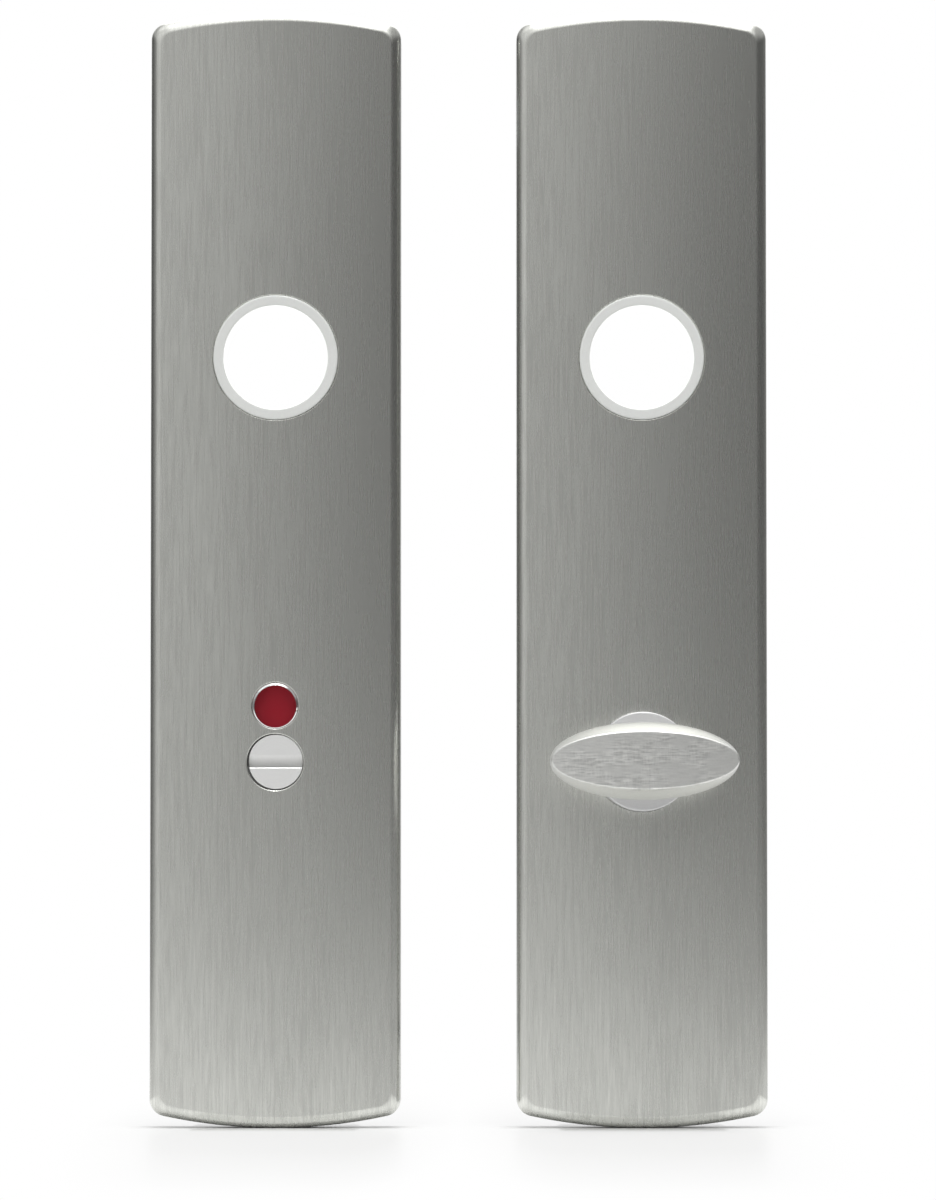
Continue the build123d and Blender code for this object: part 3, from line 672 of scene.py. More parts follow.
class Skin:
    """Faces that bring their own shading normals, welded into one closed mesh."""

    def __init__(self) -> None:
        """Start without faces."""
        self.faces: list[tuple[np.ndarray, np.ndarray]] = []

    def grid(self, points: np.ndarray, normals: np.ndarray) -> None:
        """Add a grid of four-sided faces.

        Args:
            points: Rows and columns of points, in millimetres.
            normals: Their outward normals.
        """
        for row in range(points.shape[0] - 1):
            for column in range(points.shape[1] - 1):
                rows = (row, row, row + 1, row + 1)
                columns = (column, column + 1, column + 1, column)
                self.faces.append((points[rows, columns], normals[rows, columns]))

    def turned(self, profile: Profile, centre: tuple[float, float], count: int) -> None:
        """Add a profile turned about an axis that runs across the door face.

        Args:
            profile: Radii and heights with their normals.
            centre: The axis's x and z.
            count: Facets round it.
        """
        angles = np.linspace(0.0, 2 * math.pi, count + 1)
        spokes = np.stack((np.cos(angles), np.full(count + 1, -1.0), np.sin(angles)), axis=-1)
        points, normals = (rows[:, None, (0, 1, 0)] * spokes for rows in profile)
        self.grid(points + (centre[0], DOOR_FACE_Y, centre[1]), normals)

    def spread(
        self,
        outlines: Sequence[np.ndarray],
        lift: Callable[[np.ndarray], tuple[np.ndarray, np.ndarray]],
        extra: np.ndarray | None = None,
    ) -> None:
        """Add a face with holes.

        Args:
            outlines: Its outline in plan, then those of its holes.
            lift: Gives the places and normals of plan points.
            extra: Plan points inside it, where it is curved.
        """
        plan = np.concatenate([*outlines, *([extra] if extra is not None else [])])
        points = [Vector(point) for point in plan]
        made = delaunay_2d_cdt(points, loop_edges(outlines), [], 0, 1e-6)
        own = [origin[0] for origin in made[3]]
        places, normals = lift(plan)
        corners = [[own[k] for k in face] for face in made[2]]
        middles = np.array([plan[face].mean(axis=0) for face in corners])
        for face, kept in zip(corners, inside(middles, outlines)):
            if kept:
                self.faces.append((places[face], normals[face]))

    def piece(self, name: str) -> bpy.types.Object:
        """Weld the faces into an object.

        Args:
            name: The object's name.

        Returns:
            The object, in metres, with faces outwards.
        """
        points = np.concatenate([face[0] for face in self.faces])
        normals = np.concatenate([face[1] for face in self.faces])
        keys = np.round(points / WELD_STEP + WELD_SHIFT).astype(np.int64)
        _, first, own = np.unique(keys, axis=0, return_index=True, return_inverse=True)
        own = own.reshape(-1)
        faces: list[list[int]] = []
        facing: list[np.ndarray] = []
        start = 0
        for corners, _ in self.faces:
            size = len(corners)
            ids = range(start, start + size)
            start += size
            ids = [k for k in ids if own[k] != own[k - 1 if k > start - size else start - 1]]
            if len({int(own[k]) for k in ids}) < 3:
                continue
            a, b, c = points[ids[0]], points[ids[1]], points[ids[2]]
            flat = np.cross(b - a, c - a)
            if len(ids) == 4:
                flat = np.cross(c - a, points[ids[3]] - b)
            if flat @ normals[ids].sum(axis=0) < 0:
                ids = ids[::-1]
            faces.append([int(own[k]) for k in ids])
            facing.extend(normals[ids])
        mesh = bpy.data.meshes.new(name)
        mesh.from_pydata((points[first] * MILLIMETRE).tolist(), [], faces)
        mesh.polygons.foreach_set("use_smooth", [True] * len(mesh.polygons))
        mesh.normals_split_custom_set([tuple(vector) for vector in facing])
        return placed(name, mesh)


def placed(name: str, data: bpy.types.ID) -> bpy.types.Object:
    """Put a mesh, a lamp or a camera into the scene.

    Args:
        name: Name of its object.
        data: What the object holds.

    Returns:
        The object.
    """
    made = bpy.data.objects.new(name, data)
    bpy.context.scene.collection.objects.link(made)
    return made


def finished(
    piece: bpy.types.Object, body: str, finish: Finish, node: str
) -> bpy.types.Object:
    """Dress a piece and tie it to the frame.

    Args:
        piece: The piece.
        body: Body that it rides on.
        finish: Its finish.
        node: CAD node that it stands for.

    Returns:
        The piece.
    """
    piece.data.materials.append(finish.material())
    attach(piece, body)
    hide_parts(node)
    LOG.info("%s: %d faces", piece.name, len(piece.data.polygons))
    return piece


def copied(
    node: str, name: str, edge: float, cut_h: float | None = None, front_kept: bool = False
) -> bpy.types.Object:
    """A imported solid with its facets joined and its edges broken.

    Args:
        node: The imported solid.
        name: Name of the new piece.
        edge: Width of the broken edges, in millimetres.
        cut_h: Height above which the solid is cut off, if it is.
        front_kept: Whether what is above that height is kept instead of what is below it.

    Returns:
        The piece.
    """
    mesh = bpy.data.meshes.new(name)
    shape = bmesh.new()
    shape.from_mesh(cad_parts[node].data)
    bmesh.ops.remove_doubles(shape, verts=shape.verts, dist=2e-6)
    if cut_h is not None:
        spot = (0.0, (DOOR_FACE_Y - cut_h) * MILLIMETRE, 0.0)
        removed = (0, 1 if front_kept else -1, 0)
        everything = [*shape.verts, *shape.edges, *shape.faces]
        bmesh.ops.bisect_plane(
            shape, geom=everything, dist=1e-7, plane_co=spot, plane_no=removed, clear_outer=True
        )
        rim = [each for each in shape.edges if each.is_boundary]
        bmesh.ops.holes_fill(shape, edges=rim, sides=0)
    bmesh.ops.dissolve_limit(
        shape, angle_limit=math.radians(FLAT_ANGLE), verts=shape.verts, edges=shape.edges
    )
    shape.to_mesh(mesh)
    shape.free()
    if "custom_normal" in mesh.attributes:
        mesh.attributes.remove(mesh.attributes["custom_normal"])
    mesh.polygons.foreach_set("use_smooth", [True] * len(mesh.polygons))
    mesh.set_sharp_from_angle(angle=math.radians(SHARP_ANGLE))
    made = placed(name, mesh)
    bevel = made.modifiers.new("broken_edges", "BEVEL")
    bevel.width = edge * MILLIMETRE
    bevel.segments = 2
    bevel.limit_method = "ANGLE"
    bevel.angle_limit = math.radians(BROKEN_ANGLE)
    bevel.use_clamp_overlap = True
    bevel.harden_normals = True
    return made


def ring(radius: float, centre: tuple[float, float], count: int) -> np.ndarray:
    """Points of a circle in plan, without the first one again."""
    angles = np.linspace(0.0, 2 * math.pi, count, endpoint=False)
    return np.stack(
        (centre[0] + radius * np.cos(angles), centre[1] + radius * np.sin(angles)), axis=1
    )


# ---- Covers ----


@dataclass
class CoverPlate:
    """Pressed cover with a faintly crowned front, arched ends and softened holes."""

    half: Half
    holes: tuple[tuple[float, float], ...]
    half_width: float = 19.5
    half_length: float = 87.0
    end_radius: float = 84.0
    depth: float = 8.0
    crown: float = 0.75
    side_rounding: float = 1.65
    end_rounding: float = 1.8
    corner_radius: float = 2.7
    face_corner_radius: float = 2.2
    wall: float = 1.5
    cavity_h: float = 6.5
    inner_corner: float = 1.0
    hole_rounding: float = 0.16

    # How many facets the outline and the roundings have
    side_facets: int = 30
    corner_facets: int = 12
    arch_facets: int = 48
    rounding_facets: int = 12
    hole_rounding_facets: int = 4
    large_hole: float = 5.0
    large_hole_facets: int = 120
    small_hole_facets: int = 72

    # Rows and columns of points that carry the front's crown: first, last and how many
    front_columns: tuple[float, float, int] = (-0.86, 0.86, 11)
    front_levels: tuple[float, float, int] = (8.0, 166.0, 34)
    clear_of_hole: float = 1.0

    def loop(self, side: float, end: float, corner: float) -> tuple[np.ndarray, ...]:
        """The plan outline, drawn in by an inset at the sides and one at the ends.

        Args:
            side: Inset of the long sides.
            end: Inset of the arched ends.
            corner: Radius of the corners.

        Returns:
            Plan points, plan normals and how much each point belongs to an end.
        """
        reach_u = self.half_width - side - corner
        radius = self.end_radius - end
        middle = self.half_length - self.end_radius
        reach_v = math.sqrt((radius - corner) ** 2 - reach_u**2)
        tilt = math.atan2(reach_v, reach_u)
        rise = np.linspace(-1.0, 1.0, self.side_facets, endpoint=False)
        share = np.arange(self.corner_facets) / self.corner_facets
        arch = np.arange(self.arch_facets) / self.arch_facets
        end_v = middle + reach_v

        # One side, corner, arched end and corner: centre, radius, angles and share of the end
        runs = (
            (reach_u, end_v * rise, corner, 0 * rise, 0 * rise),
            (reach_u, end_v, corner, tilt * share, eased(share)),
            (0.0, middle, radius, tilt + (math.pi - 2 * tilt) * arch, 1 + 0 * arch),
            (-reach_u, end_v, corner, math.pi - tilt * (1 - share), eased(1 - share)),
        )
        points, normals = [], []
        for u, v, reach, angles, _ in runs:
            normals.append(np.stack((np.cos(angles), np.sin(angles)), axis=1))
            centre = np.stack((u + 0 * angles, v + 0 * angles), axis=1)
            points.append(centre + reach * normals[-1])
        plan, facing = np.concatenate(points), np.concatenate(normals)
        plan = np.concatenate((plan, -plan)) + (0.0, PLATE_MIDDLE_Z)
        ends = np.tile(np.concatenate([run[-1] for run in runs]), 2)
        return plan, np.concatenate((facing, -facing)), ends

    def top(self, u: np.ndarray) -> np.ndarray:
        """Height of the crowned front over the door face."""
        return self.depth - self.crown * (u / self.half_width) ** 2

    def world(self, plan: np.ndarray, height: np.ndarray) -> np.ndarray:
        """Plan points and heights as places in the frame."""
        across = plan[..., 0] + self.half.centre_x
        return np.stack((across, DOOR_FACE_Y - height, plan[..., 1]), axis=-1)

    def front(self, plan: np.ndarray) -> tuple[np.ndarray, np.ndarray]:
        """Places and normals of the crowned front.

        Args:
            plan: Plan points.

        Returns:
            Their places and outward normals.
        """
        slope = 2 * self.crown * plan[:, 0] / self.half_width**2
        level = np.zeros(len(plan))
        normals = unit(np.stack((slope, -np.ones(len(plan)), level), axis=-1))
        return self.world(plan, self.top(plan[:, 0])), normals

    def back(self, plan: np.ndarray) -> tuple[np.ndarray, np.ndarray]:
        """Places and normals of the flat inside face."""
        level = np.full(len(plan), self.cavity_h)
        return self.world(plan, level), np.tile((0.0, 1.0, 0.0), (len(plan), 1))

    def add_shell(self, skin: Skin) -> np.ndarray:
        """Add the side walls, the rounding and the rim against the door.

        Args:
            skin: The mesh that they go into.

        Returns:
            Outline of the front inside the rounding.
        """
        rows = []
        for share in np.linspace(0.0, 1.0, self.rounding_facets + 1):
            angle = math.pi / 2 * share
            drawn_in, sunk = 1 - math.cos(angle), 1 - math.sin(angle)
            corner = self.corner_radius + (self.face_corner_radius - self.corner_radius) * share
            plan, facing, ends = self.loop(
                self.side_rounding * drawn_in, self.end_rounding * drawn_in, corner
            )
            rounding = self.side_rounding + (self.end_rounding - self.side_rounding) * ends
            rows.append((plan, facing, self.top(plan[:, 0]) - rounding * sunk))
        outline = rows[0][0]
        places = again(np.array([self.world(plan, height) for plan, _, height in rows]))
        normals = grid_normals(places)
        walls = np.stack((rows[0][1][:, 0], np.zeros(len(outline)), rows[0][1][:, 1]), axis=-1)
        walls = np.concatenate((walls, walls[:1]))
        if (normals[self.rounding_facets // 2] * walls).sum() < 0:
            normals = -normals
        normals[0] = walls
        normals[-1] = again(self.front(rows[-1][0])[1][None])[0]
        skin.grid(places, normals)
        foot = places[0].copy()
        foot[:, 1] = DOOR_FACE_Y
        skin.grid(np.array((foot, places[0])), np.array((walls, walls)))
        inner, _, _ = self.loop(self.wall, self.wall, self.inner_corner)
        inner_foot = again(self.world(inner, np.zeros(len(inner)))[None])[0]
        to_door = np.tile((0.0, 1.0, 0.0), (2, len(foot), 1))
        skin.grid(np.array((inner_foot, foot)), to_door)
        inner_top = inner_foot.copy()
        inner_top[:, 1] = DOOR_FACE_Y - self.cavity_h
        skin.grid(np.array((inner_foot, inner_top)), np.array((-walls, -walls)))
        return rows[-1][0]

    def hole(self, radius: float, height: float, wider: float) -> np.ndarray:
        """Plan circle of a hole, made wider by a width, with more facets where it is large."""
        large = radius > self.large_hole
        count = self.large_hole_facets if large else self.small_hole_facets
        return ring(radius + wider, (0.0, height), count)

    def hole_outlines(self, wider: float) -> list[np.ndarray]:
        """Plan circles of all holes, made wider by a width."""
        return [self.hole(radius, height, wider) for radius, height in self.holes]

    def add_holes(self, skin: Skin) -> None:
        """Add the softened walls of the holes.

        Args:
            skin: The mesh that they go into.
        """
        angles = np.linspace(0.0, math.pi / 2, self.hole_rounding_facets + 1)
        for radius, height in self.holes:
            places, facing = [], []
            for angle in (*angles, angles[-1]):
                plan = self.hole(radius, height, self.hole_rounding * (1 - math.sin(angle)))
                level = self.top(plan[:, 0]) - self.hole_rounding * (1 - math.cos(angle))
                places.append(self.world(plan, level))
                spokes = unit(plan - (0.0, height))
                inward = -spokes * math.sin(angle)
                toward = np.full(len(plan), -math.cos(angle))
                facing.append(np.stack((inward[:, 0], toward, inward[:, 1]), axis=-1))
            places[-1][:, 1] = DOOR_FACE_Y - self.cavity_h
            skin.grid(again(np.array(places)), again(np.array(facing)))

    def build(self) -> bpy.types.Object:
        """Make the cover.

        Returns:
            The finished piece.
        """
        skin = Skin()
        edge = self.add_shell(skin)
        self.add_holes(skin)
        columns = np.linspace(*self.front_columns) * self.half_width
        levels = np.linspace(*self.front_levels)
        extra = np.array([(u, v) for u in columns for v in levels])
        for radius, height in self.holes:
            away = np.hypot(extra[:, 0], extra[:, 1] - height)
            extra = extra[away > radius + self.clear_of_hole]
        skin.spread([edge, *self.hole_outlines(self.hole_rounding)], self.front, extra)
        inner, _, _ = self.loop(self.wall, self.wall, self.inner_corner)
        skin.spread([inner, *self.hole_outlines(0.0)], self.back)
        name = f"{self.half.value}_cover"
        piece = skin.piece(f"{name}_plate")
        return finished(piece, "root", BRUSHED_COVER, name)


# ---- Lever bushes ----


@dataclass
class LeverBush:
    """Moulded collar that the neck of a lever runs in."""

    half: Half
    bore: float = 8.0
    rim: float = 9.7
    body: float = 10.2
    flange: float = 11.5
    flange_h: tuple[float, float] = (5.0, 6.5)
    front_h: float = 8.3
    facets: int = 144

    def build(self) -> bpy.types.Object:
        """Turn the collar.

        Returns:
            The finished piece.
        """
        profile = softened(
            (
                (self.bore, 0.0, 0.3),
                (self.body, 0.0, 0.3),
                (self.body, self.flange_h[0], 0.0),
                (self.flange, self.flange_h[0], 0.15),
                (self.flange, self.flange_h[1], 0.15),
                (self.rim, self.flange_h[1], 0.0),
                (self.rim, self.front_h, 0.28),
                (self.bore, self.front_h, 0.35),
            ),
            closed=True,
        )
        skin = Skin()
        skin.turned(profile, (self.half.centre_x, LEVER_Z), self.facets)
        name = f"{self.half.value}_lever_bush"
        return finished(skin.piece(f"{name}_collar"), "root", BUSH_NYLON, name)


# ---- Window and release ----


@dataclass
class WindowAndRelease:
    """Window lens, bevelled wider at its top, and coin release of the outside half."""

    lens_flange: float = 4.25
    lens_flange_h: tuple[float, float] = (6.0, 6.5)
    lens_radius: float = 3.55
    lens_face_radius: float = 3.3
    lens_face_drop: float = 0.13
    lens_bevel: float = 0.2
    lens_front: float = 8.08
    lens_facets: int = 96
    head_radius: float = 4.22
    head_front: float = 7.9
    head_back: float = 5.9
    head_overlap: float = 0.05
    head_play: tuple[float, float] = (0.11, 0.05)
    head_rounding: float = 0.1
    head_facets: int = 96
    broken_edge: float = 0.08

    # The coin slot from its upper lip to its lower one: height on the head, depth, slope
    slot: tuple[tuple[float, float, float], ...] = (
        (1.12, 0.0, 0.0),
        (0.96, -0.07, 0.72),
        (0.65, -0.29, 0.76),
        (0.26, -0.57, 0.72),
        (-0.18, -0.85, 0.56),
        (-0.52, -1.01, 0.38),
        (-0.82, -1.10, 0.15),
    )
    slot_lip: tuple[tuple[float, float, float], ...] = (
        (-0.82, -1.10, -20.0),
        (-0.87, -0.15, -20.0),
    )
    slot_bevel: tuple[tuple[float, float, float], ...] = (
        (-0.87, -0.15, -0.8),
        (-1.01, 0.0, -0.8),
    )

    def build_lens(self) -> bpy.types.Object:
        """Turn the lens with its hidden flange.

        Returns:
            The finished piece.
        """
        profile = softened(
            (
                (0.0, self.lens_flange_h[0], 0.0),
                (self.lens_flange, self.lens_flange_h[0], 0.05),
                (self.lens_flange, self.lens_flange_h[1], 0.0),
                (self.lens_radius, self.lens_flange_h[1], 0.0),
                (self.lens_radius, self.lens_front - self.lens_bevel, 0.03),
                (self.lens_face_radius, self.lens_front, 0.03),
                (0.0, self.lens_front, 0.0),
            ),
            closed=False,
            steps=8,
        )
        skin = Skin()
        skin.turned(profile, (Half.OUTSIDE.centre_x, WINDOW_Z), self.lens_facets)
        for places, _ in skin.faces:
            above = DOOR_FACE_Y - places[:, 1] - (self.lens_front - self.lens_bevel)
            places[:, 2] -= self.lens_face_drop * np.clip(above / self.lens_bevel, 0.0, 1.0)
        piece = skin.piece("indicator_window")
        return finished(piece, "root", WINDOW_CLEAR, "window_lens")

    def slot_place(self, level: np.ndarray, middle: float) -> tuple[np.ndarray, np.ndarray]:
        """Depth and slope of the head's front at some heights on it.

        Args:
            level: Heights over the head's centre.
            middle: Height of the facet's middle, which tells the two sides of a crease apart.

        Returns:
            Depths from the flat front and slopes.
        """
        for run in (self.slot, self.slot_lip, self.slot_bevel):
            if run[-1][0] < middle < run[0][0]:
                table = np.array(run[::-1])
                depth = np.interp(level, table[:, 0], table[:, 1])
                return depth, np.interp(level, table[:, 0], table[:, 2])
        return np.zeros_like(level), np.zeros_like(level)

    def add_head(self, skin: Skin) -> None:
        """Add the head: a rounded rim, a slot across it, a side wall and a flat back.

        Args:
            skin: The mesh that it goes into.
        """
        levels = sorted({row[0] for row in (*self.slot, *self.slot_lip, *self.slot_bevel)})
        inner_radius = self.head_radius - self.head_rounding
        full_turn = np.linspace(0.0, 2 * math.pi, self.head_facets, endpoint=False)
        rings: list[np.ndarray] = []
        for tilt in np.linspace(0.0, math.pi / 2, 4):
            radius = inner_radius + self.head_rounding * math.sin(tilt)
            angles = set(full_turn.tolist())
            for level in levels:
                angle = math.asin(level / radius)
                angles.update((angle % (2 * math.pi), math.pi - angle))
            spread = np.array(sorted(angles))
            spread = spread[np.diff(spread, append=7.0) > 1e-6]
            rings.append(np.stack((radius * np.cos(spread), radius * np.sin(spread)), axis=1))
        plan = np.concatenate(rings)
        edges = loop_edges(rings)
        for level in levels:
            row = np.flatnonzero(np.abs(plan[:, 1] - level) < 1e-6)
            row = row[np.argsort(plan[row, 0])]
            edges.extend(zip(row[:-1].tolist(), row[1:].tolist()))
        made = delaunay_2d_cdt([Vector(point) for point in plan], edges, [], 0, 1e-7)
        own = [origin[0] for origin in made[3]]
        reach = np.hypot(plan[:, 0], plan[:, 1])
        tilt = np.arcsin(np.clip((reach - inner_radius) / self.head_rounding, 0.0, 1.0))
        sunk = self.head_rounding * (1 - np.cos(tilt))
        outward = unit(np.stack((plan[:, 0], np.zeros(len(plan)), plan[:, 1]), axis=-1))
        centre = np.array((Half.OUTSIDE.centre_x, LOCK_Z)) + self.head_play

        def placed_at(points: np.ndarray, height: np.ndarray) -> np.ndarray:
            """Places of points of the head at some heights off the door."""
            moved = points + centre
            return np.stack((moved[:, 0], DOOR_FACE_Y - height, moved[:, 1]), axis=-1)

        for face in made[2]:
            ids = [own[k] for k in face]
            depth, slope = self.slot_place(plan[ids, 1], float(plan[ids, 1].mean()))
            facing = unit(np.stack((0 * slope, -np.ones_like(slope), -slope), axis=-1))
            across, along = np.sin(tilt[ids])[:, None], np.cos(tilt[ids])[:, None]
            normals = unit(outward[ids] * across + facing * along)
            skin.faces.append((placed_at(plan[ids], self.head_front + depth - sunk[ids]), normals))
        rim = rings[-1]
        for k in range(len(rim)):
            pair = rim[[k, (k + 1) % len(rim)]]
            depth, _ = self.slot_place(pair[:, 1], float(pair[:, 1].mean()))
            top = placed_at(pair, self.head_front + depth - self.head_rounding)
            foot = placed_at(pair, np.full(2, self.head_back))
            facing = unit(np.stack((pair[:, 0], np.zeros(2), pair[:, 1]), axis=-1))
            skin.grid(np.array((top, foot)), np.array((facing, facing)))
        back = placed_at(rim, np.full(len(rim), self.head_back))
        skin.faces.append((back, np.tile((0.0, 1.0, 0.0), (len(rim), 1))))

    def build_release(self) -> list[bpy.types.Object]:
        """Shape the slotted head and break the edges of the body behind it.

        Returns:
            The finished pieces.
        """
        head = Skin()
        self.add_head(head)
        cut_h = self.head_back + self.head_overlap
        body = copied("emergency_release", "coin_release_body", self.broken_edge, cut_h)
        return [
            finished(piece, "coin_release", RELEASE_METAL, "emergency_release")
            for piece in (head.piece("coin_release_head"), body)
        ]


# ---- Thumbturn ----


@dataclass
class Thumbturn:
    """Boss with a ledge, and an oval grip whose flanks draw in to a faintly crowned face."""

    boss_radius: float = 7.67
    boss_facets: int = 144
    ledge_h: float = 15.0
    ledge_rounding: float = 0.25
    cut_h: float = 6.3
    socket_half: float = 4.02
    socket_h: float = 11.1
    face_rounding: float = 0.32
    face_crown: float = 0.5
    crown_start_h: float = 24.0
    broken_edge: float = 0.08

    # Facets round the grip, up its flanks, in its face's rounding and from the face's edge in
    grip_facets: tuple[int, int, int, int] = (192, 55, 6, 8)

    # Height off the door, half width and half height of the grip
    stations: tuple[tuple[float, float, float], ...] = (
        (14.2, 7.2, 5.40),
        (15.0, 8.55, 5.50),
        (16.0, 10.24, 5.64),
        (17.0, 11.88, 5.78),
        (17.8, 13.1, 5.90),
        (18.4, 13.9, 5.98),
        (19.0, 14.38, 5.98),
        (19.6, 14.5, 5.97),
        (21.0, 14.49, 5.93),
        (23.5, 14.45, 5.80),
        (25.0, 14.42, 5.57),
        (26.0, 14.4, 5.28),
        (27.0, 14.38, 4.86),
        (28.0, 14.37, 4.36),
    )

    def section(self, height: float) -> tuple[float, float]:
        """Half width and half height of the grip at a height, on a smooth curve.

        Args:
            height: Height off the door face.

        Returns:
            Half width and half height.
        """
        table = np.array(self.stations)
        slopes = np.gradient(table[:, 1:], table[:, 0], axis=0)
        k = int(np.clip(np.searchsorted(table[:, 0], height) - 1, 0, len(table) - 2))
        span = table[k + 1, 0] - table[k, 0]
        t = (height - table[k, 0]) / span
        made = (
            (2 * t**3 - 3 * t**2 + 1) * table[k, 1:]
            + (t**3 - 2 * t**2 + t) * span * slopes[k]
            + (3 * t**2 - 2 * t**3) * table[k + 1, 1:]
            + (t**3 - t**2) * span * slopes[k + 1]
        )
        return float(made[0]), float(made[1])

    def oval(self, half_width: float, half_height: float, height: float) -> np.ndarray:
        """Places of one oval section, whose ends fall back as the face's crown does.

        Args:
            half_width: Half of its width.
            half_height: Half of its height.
            height: Height off the door face.

        Returns:
            Its points, the first one again at the end.
        """
        angles = np.linspace(0.0, 2 * math.pi, self.grip_facets[0] + 1)
        across = half_width * np.cos(angles)
        top = self.stations[-1][0]
        share = max(0.0, (height - self.crown_start_h) / (top - self.crown_start_h))
        fall = self.face_crown * share * (across / self.stations[-1][1]) ** 2
        return np.stack(
            (
                Half.INSIDE.centre_x + across,
                DOOR_FACE_Y - height + fall,
                LOCK_Z + half_height * np.sin(angles),
            ),
            axis=-1,
        )

    def face_normals(self, places: np.ndarray) -> np.ndarray:
        """Normals of the crowned face at some of its places.

        Args:
            places: Points on the face, on the last axis.

        Returns:
            Their unit normals.
        """
        slope = 2 * self.face_crown / self.stations[-1][1] ** 2
        normals = np.zeros_like(places)
        normals[..., 0] = slope * (places[..., 0] - Half.INSIDE.centre_x)
        normals[..., 1] = -1.0
        return unit(normals)

    def add_grip(self, skin: Skin) -> None:
        """Add the grip, closed inside the boss and at its face.

        Args:
            skin: The mesh that it goes into.
        """
        _, flank, turn, inward = self.grip_facets
        top = self.stations[-1][0]
        heights = np.linspace(self.stations[0][0], top - self.face_rounding, flank + 1)
        rows = [self.oval(*self.section(height), height) for height in heights]
        half_width, half_height = self.section(heights[-1])
        for k in range(1, turn + 1):
            angle = math.pi / 2 * k / turn
            inset = self.face_rounding * (1 - math.cos(angle))
            height = top - self.face_rounding * (1 - math.sin(angle))
            rows.append(self.oval(half_width - inset, half_height - inset, height))
        places = np.array(rows)
        normals = grid_normals(places)
        if normals[flank // 2, 0, 0] < 0:
            normals = -normals
        normals[-1] = self.face_normals(places[-1])
        skin.grid(places, normals)
        end = np.array((half_width - self.face_rounding, half_height - self.face_rounding))
        shares = np.linspace(1.0, 0.0, inward + 1)
        face = np.array([self.oval(*(end * share), top) for share in shares])
        skin.grid(face, self.face_normals(face))
        base = places[0]
        centre = base[:-1].mean(axis=0)
        disc = np.array([centre + (base - centre) * share for share in (1.0, 0.5, 0.0)])
        skin.grid(disc, np.tile((0.0, 1.0, 0.0), (3, len(base), 1)))

    @staticmethod
    def facing_door(plan: np.ndarray, height: float) -> tuple[np.ndarray, np.ndarray]:
        """Places and normals of a flat face towards the door.

        Args:
            plan: Plan points.
            height: The face's height off the door.

        Returns:
            Their places and outward normals.
        """
        depth = np.full(len(plan), DOOR_FACE_Y - height)
        places = np.stack((plan[:, 0], depth, plan[:, 1]), axis=-1)
        return places, np.tile((0.0, 1.0, 0.0), (len(plan), 1))

    def add_boss(self, skin: Skin) -> None:
        """Add the turned boss with the square socket in its back.

        Args:
            skin: The mesh that it goes into.
        """
        profile = softened(
            (
                (self.boss_radius, self.cut_h, 0.0),
                (self.boss_radius, self.ledge_h, self.ledge_rounding),
                (0.0, self.ledge_h, 0.0),
            ),
            closed=False,
        )
        centre = (Half.INSIDE.centre_x, LOCK_Z)
        skin.turned(profile, centre, self.boss_facets)
        s = self.socket_half
        square = np.array(((-s, -s), (s, -s), (s, s), (-s, s))) + centre
        outline = ring(self.boss_radius, centre, self.boss_facets)
        skin.spread([outline, square], partial(self.facing_door, height=self.cut_h))
        skin.spread([square], partial(self.facing_door, height=self.socket_h))
        corners, _ = self.facing_door(square, self.cut_h)
        for k in range(4):
            near = np.array((corners[k], corners[(k + 1) % 4]))
            far = near.copy()
            far[:, 1] = DOOR_FACE_Y - self.socket_h
            middle = near.mean(axis=0)
            inward = unit(np.array((centre[0] - middle[0], 0.0, centre[1] - middle[2])))
            skin.grid(np.array((near, far)), np.tile(inward, (2, 2, 1)))

    def build(self) -> list[bpy.types.Object]:
        """Make the grip, the boss and the journal behind them.

        Returns:
            The finished pieces.
        """
        grip, boss = Skin(), Skin()
        self.add_grip(grip)
        self.add_boss(boss)
        journal = copied("thumbturn", "thumbturn_journal", self.broken_edge, self.cut_h)
        dressed = {
            grip.piece("thumbturn_grip"): GRIP_METAL,
            boss.piece("thumbturn_boss"): BOSS_METAL,
            journal: BOSS_METAL,
        }
        return [
            finished(piece, "thumbturn", finish, "thumbturn")
            for piece, finish in dressed.items()
        ]


# ---- Fixings ----


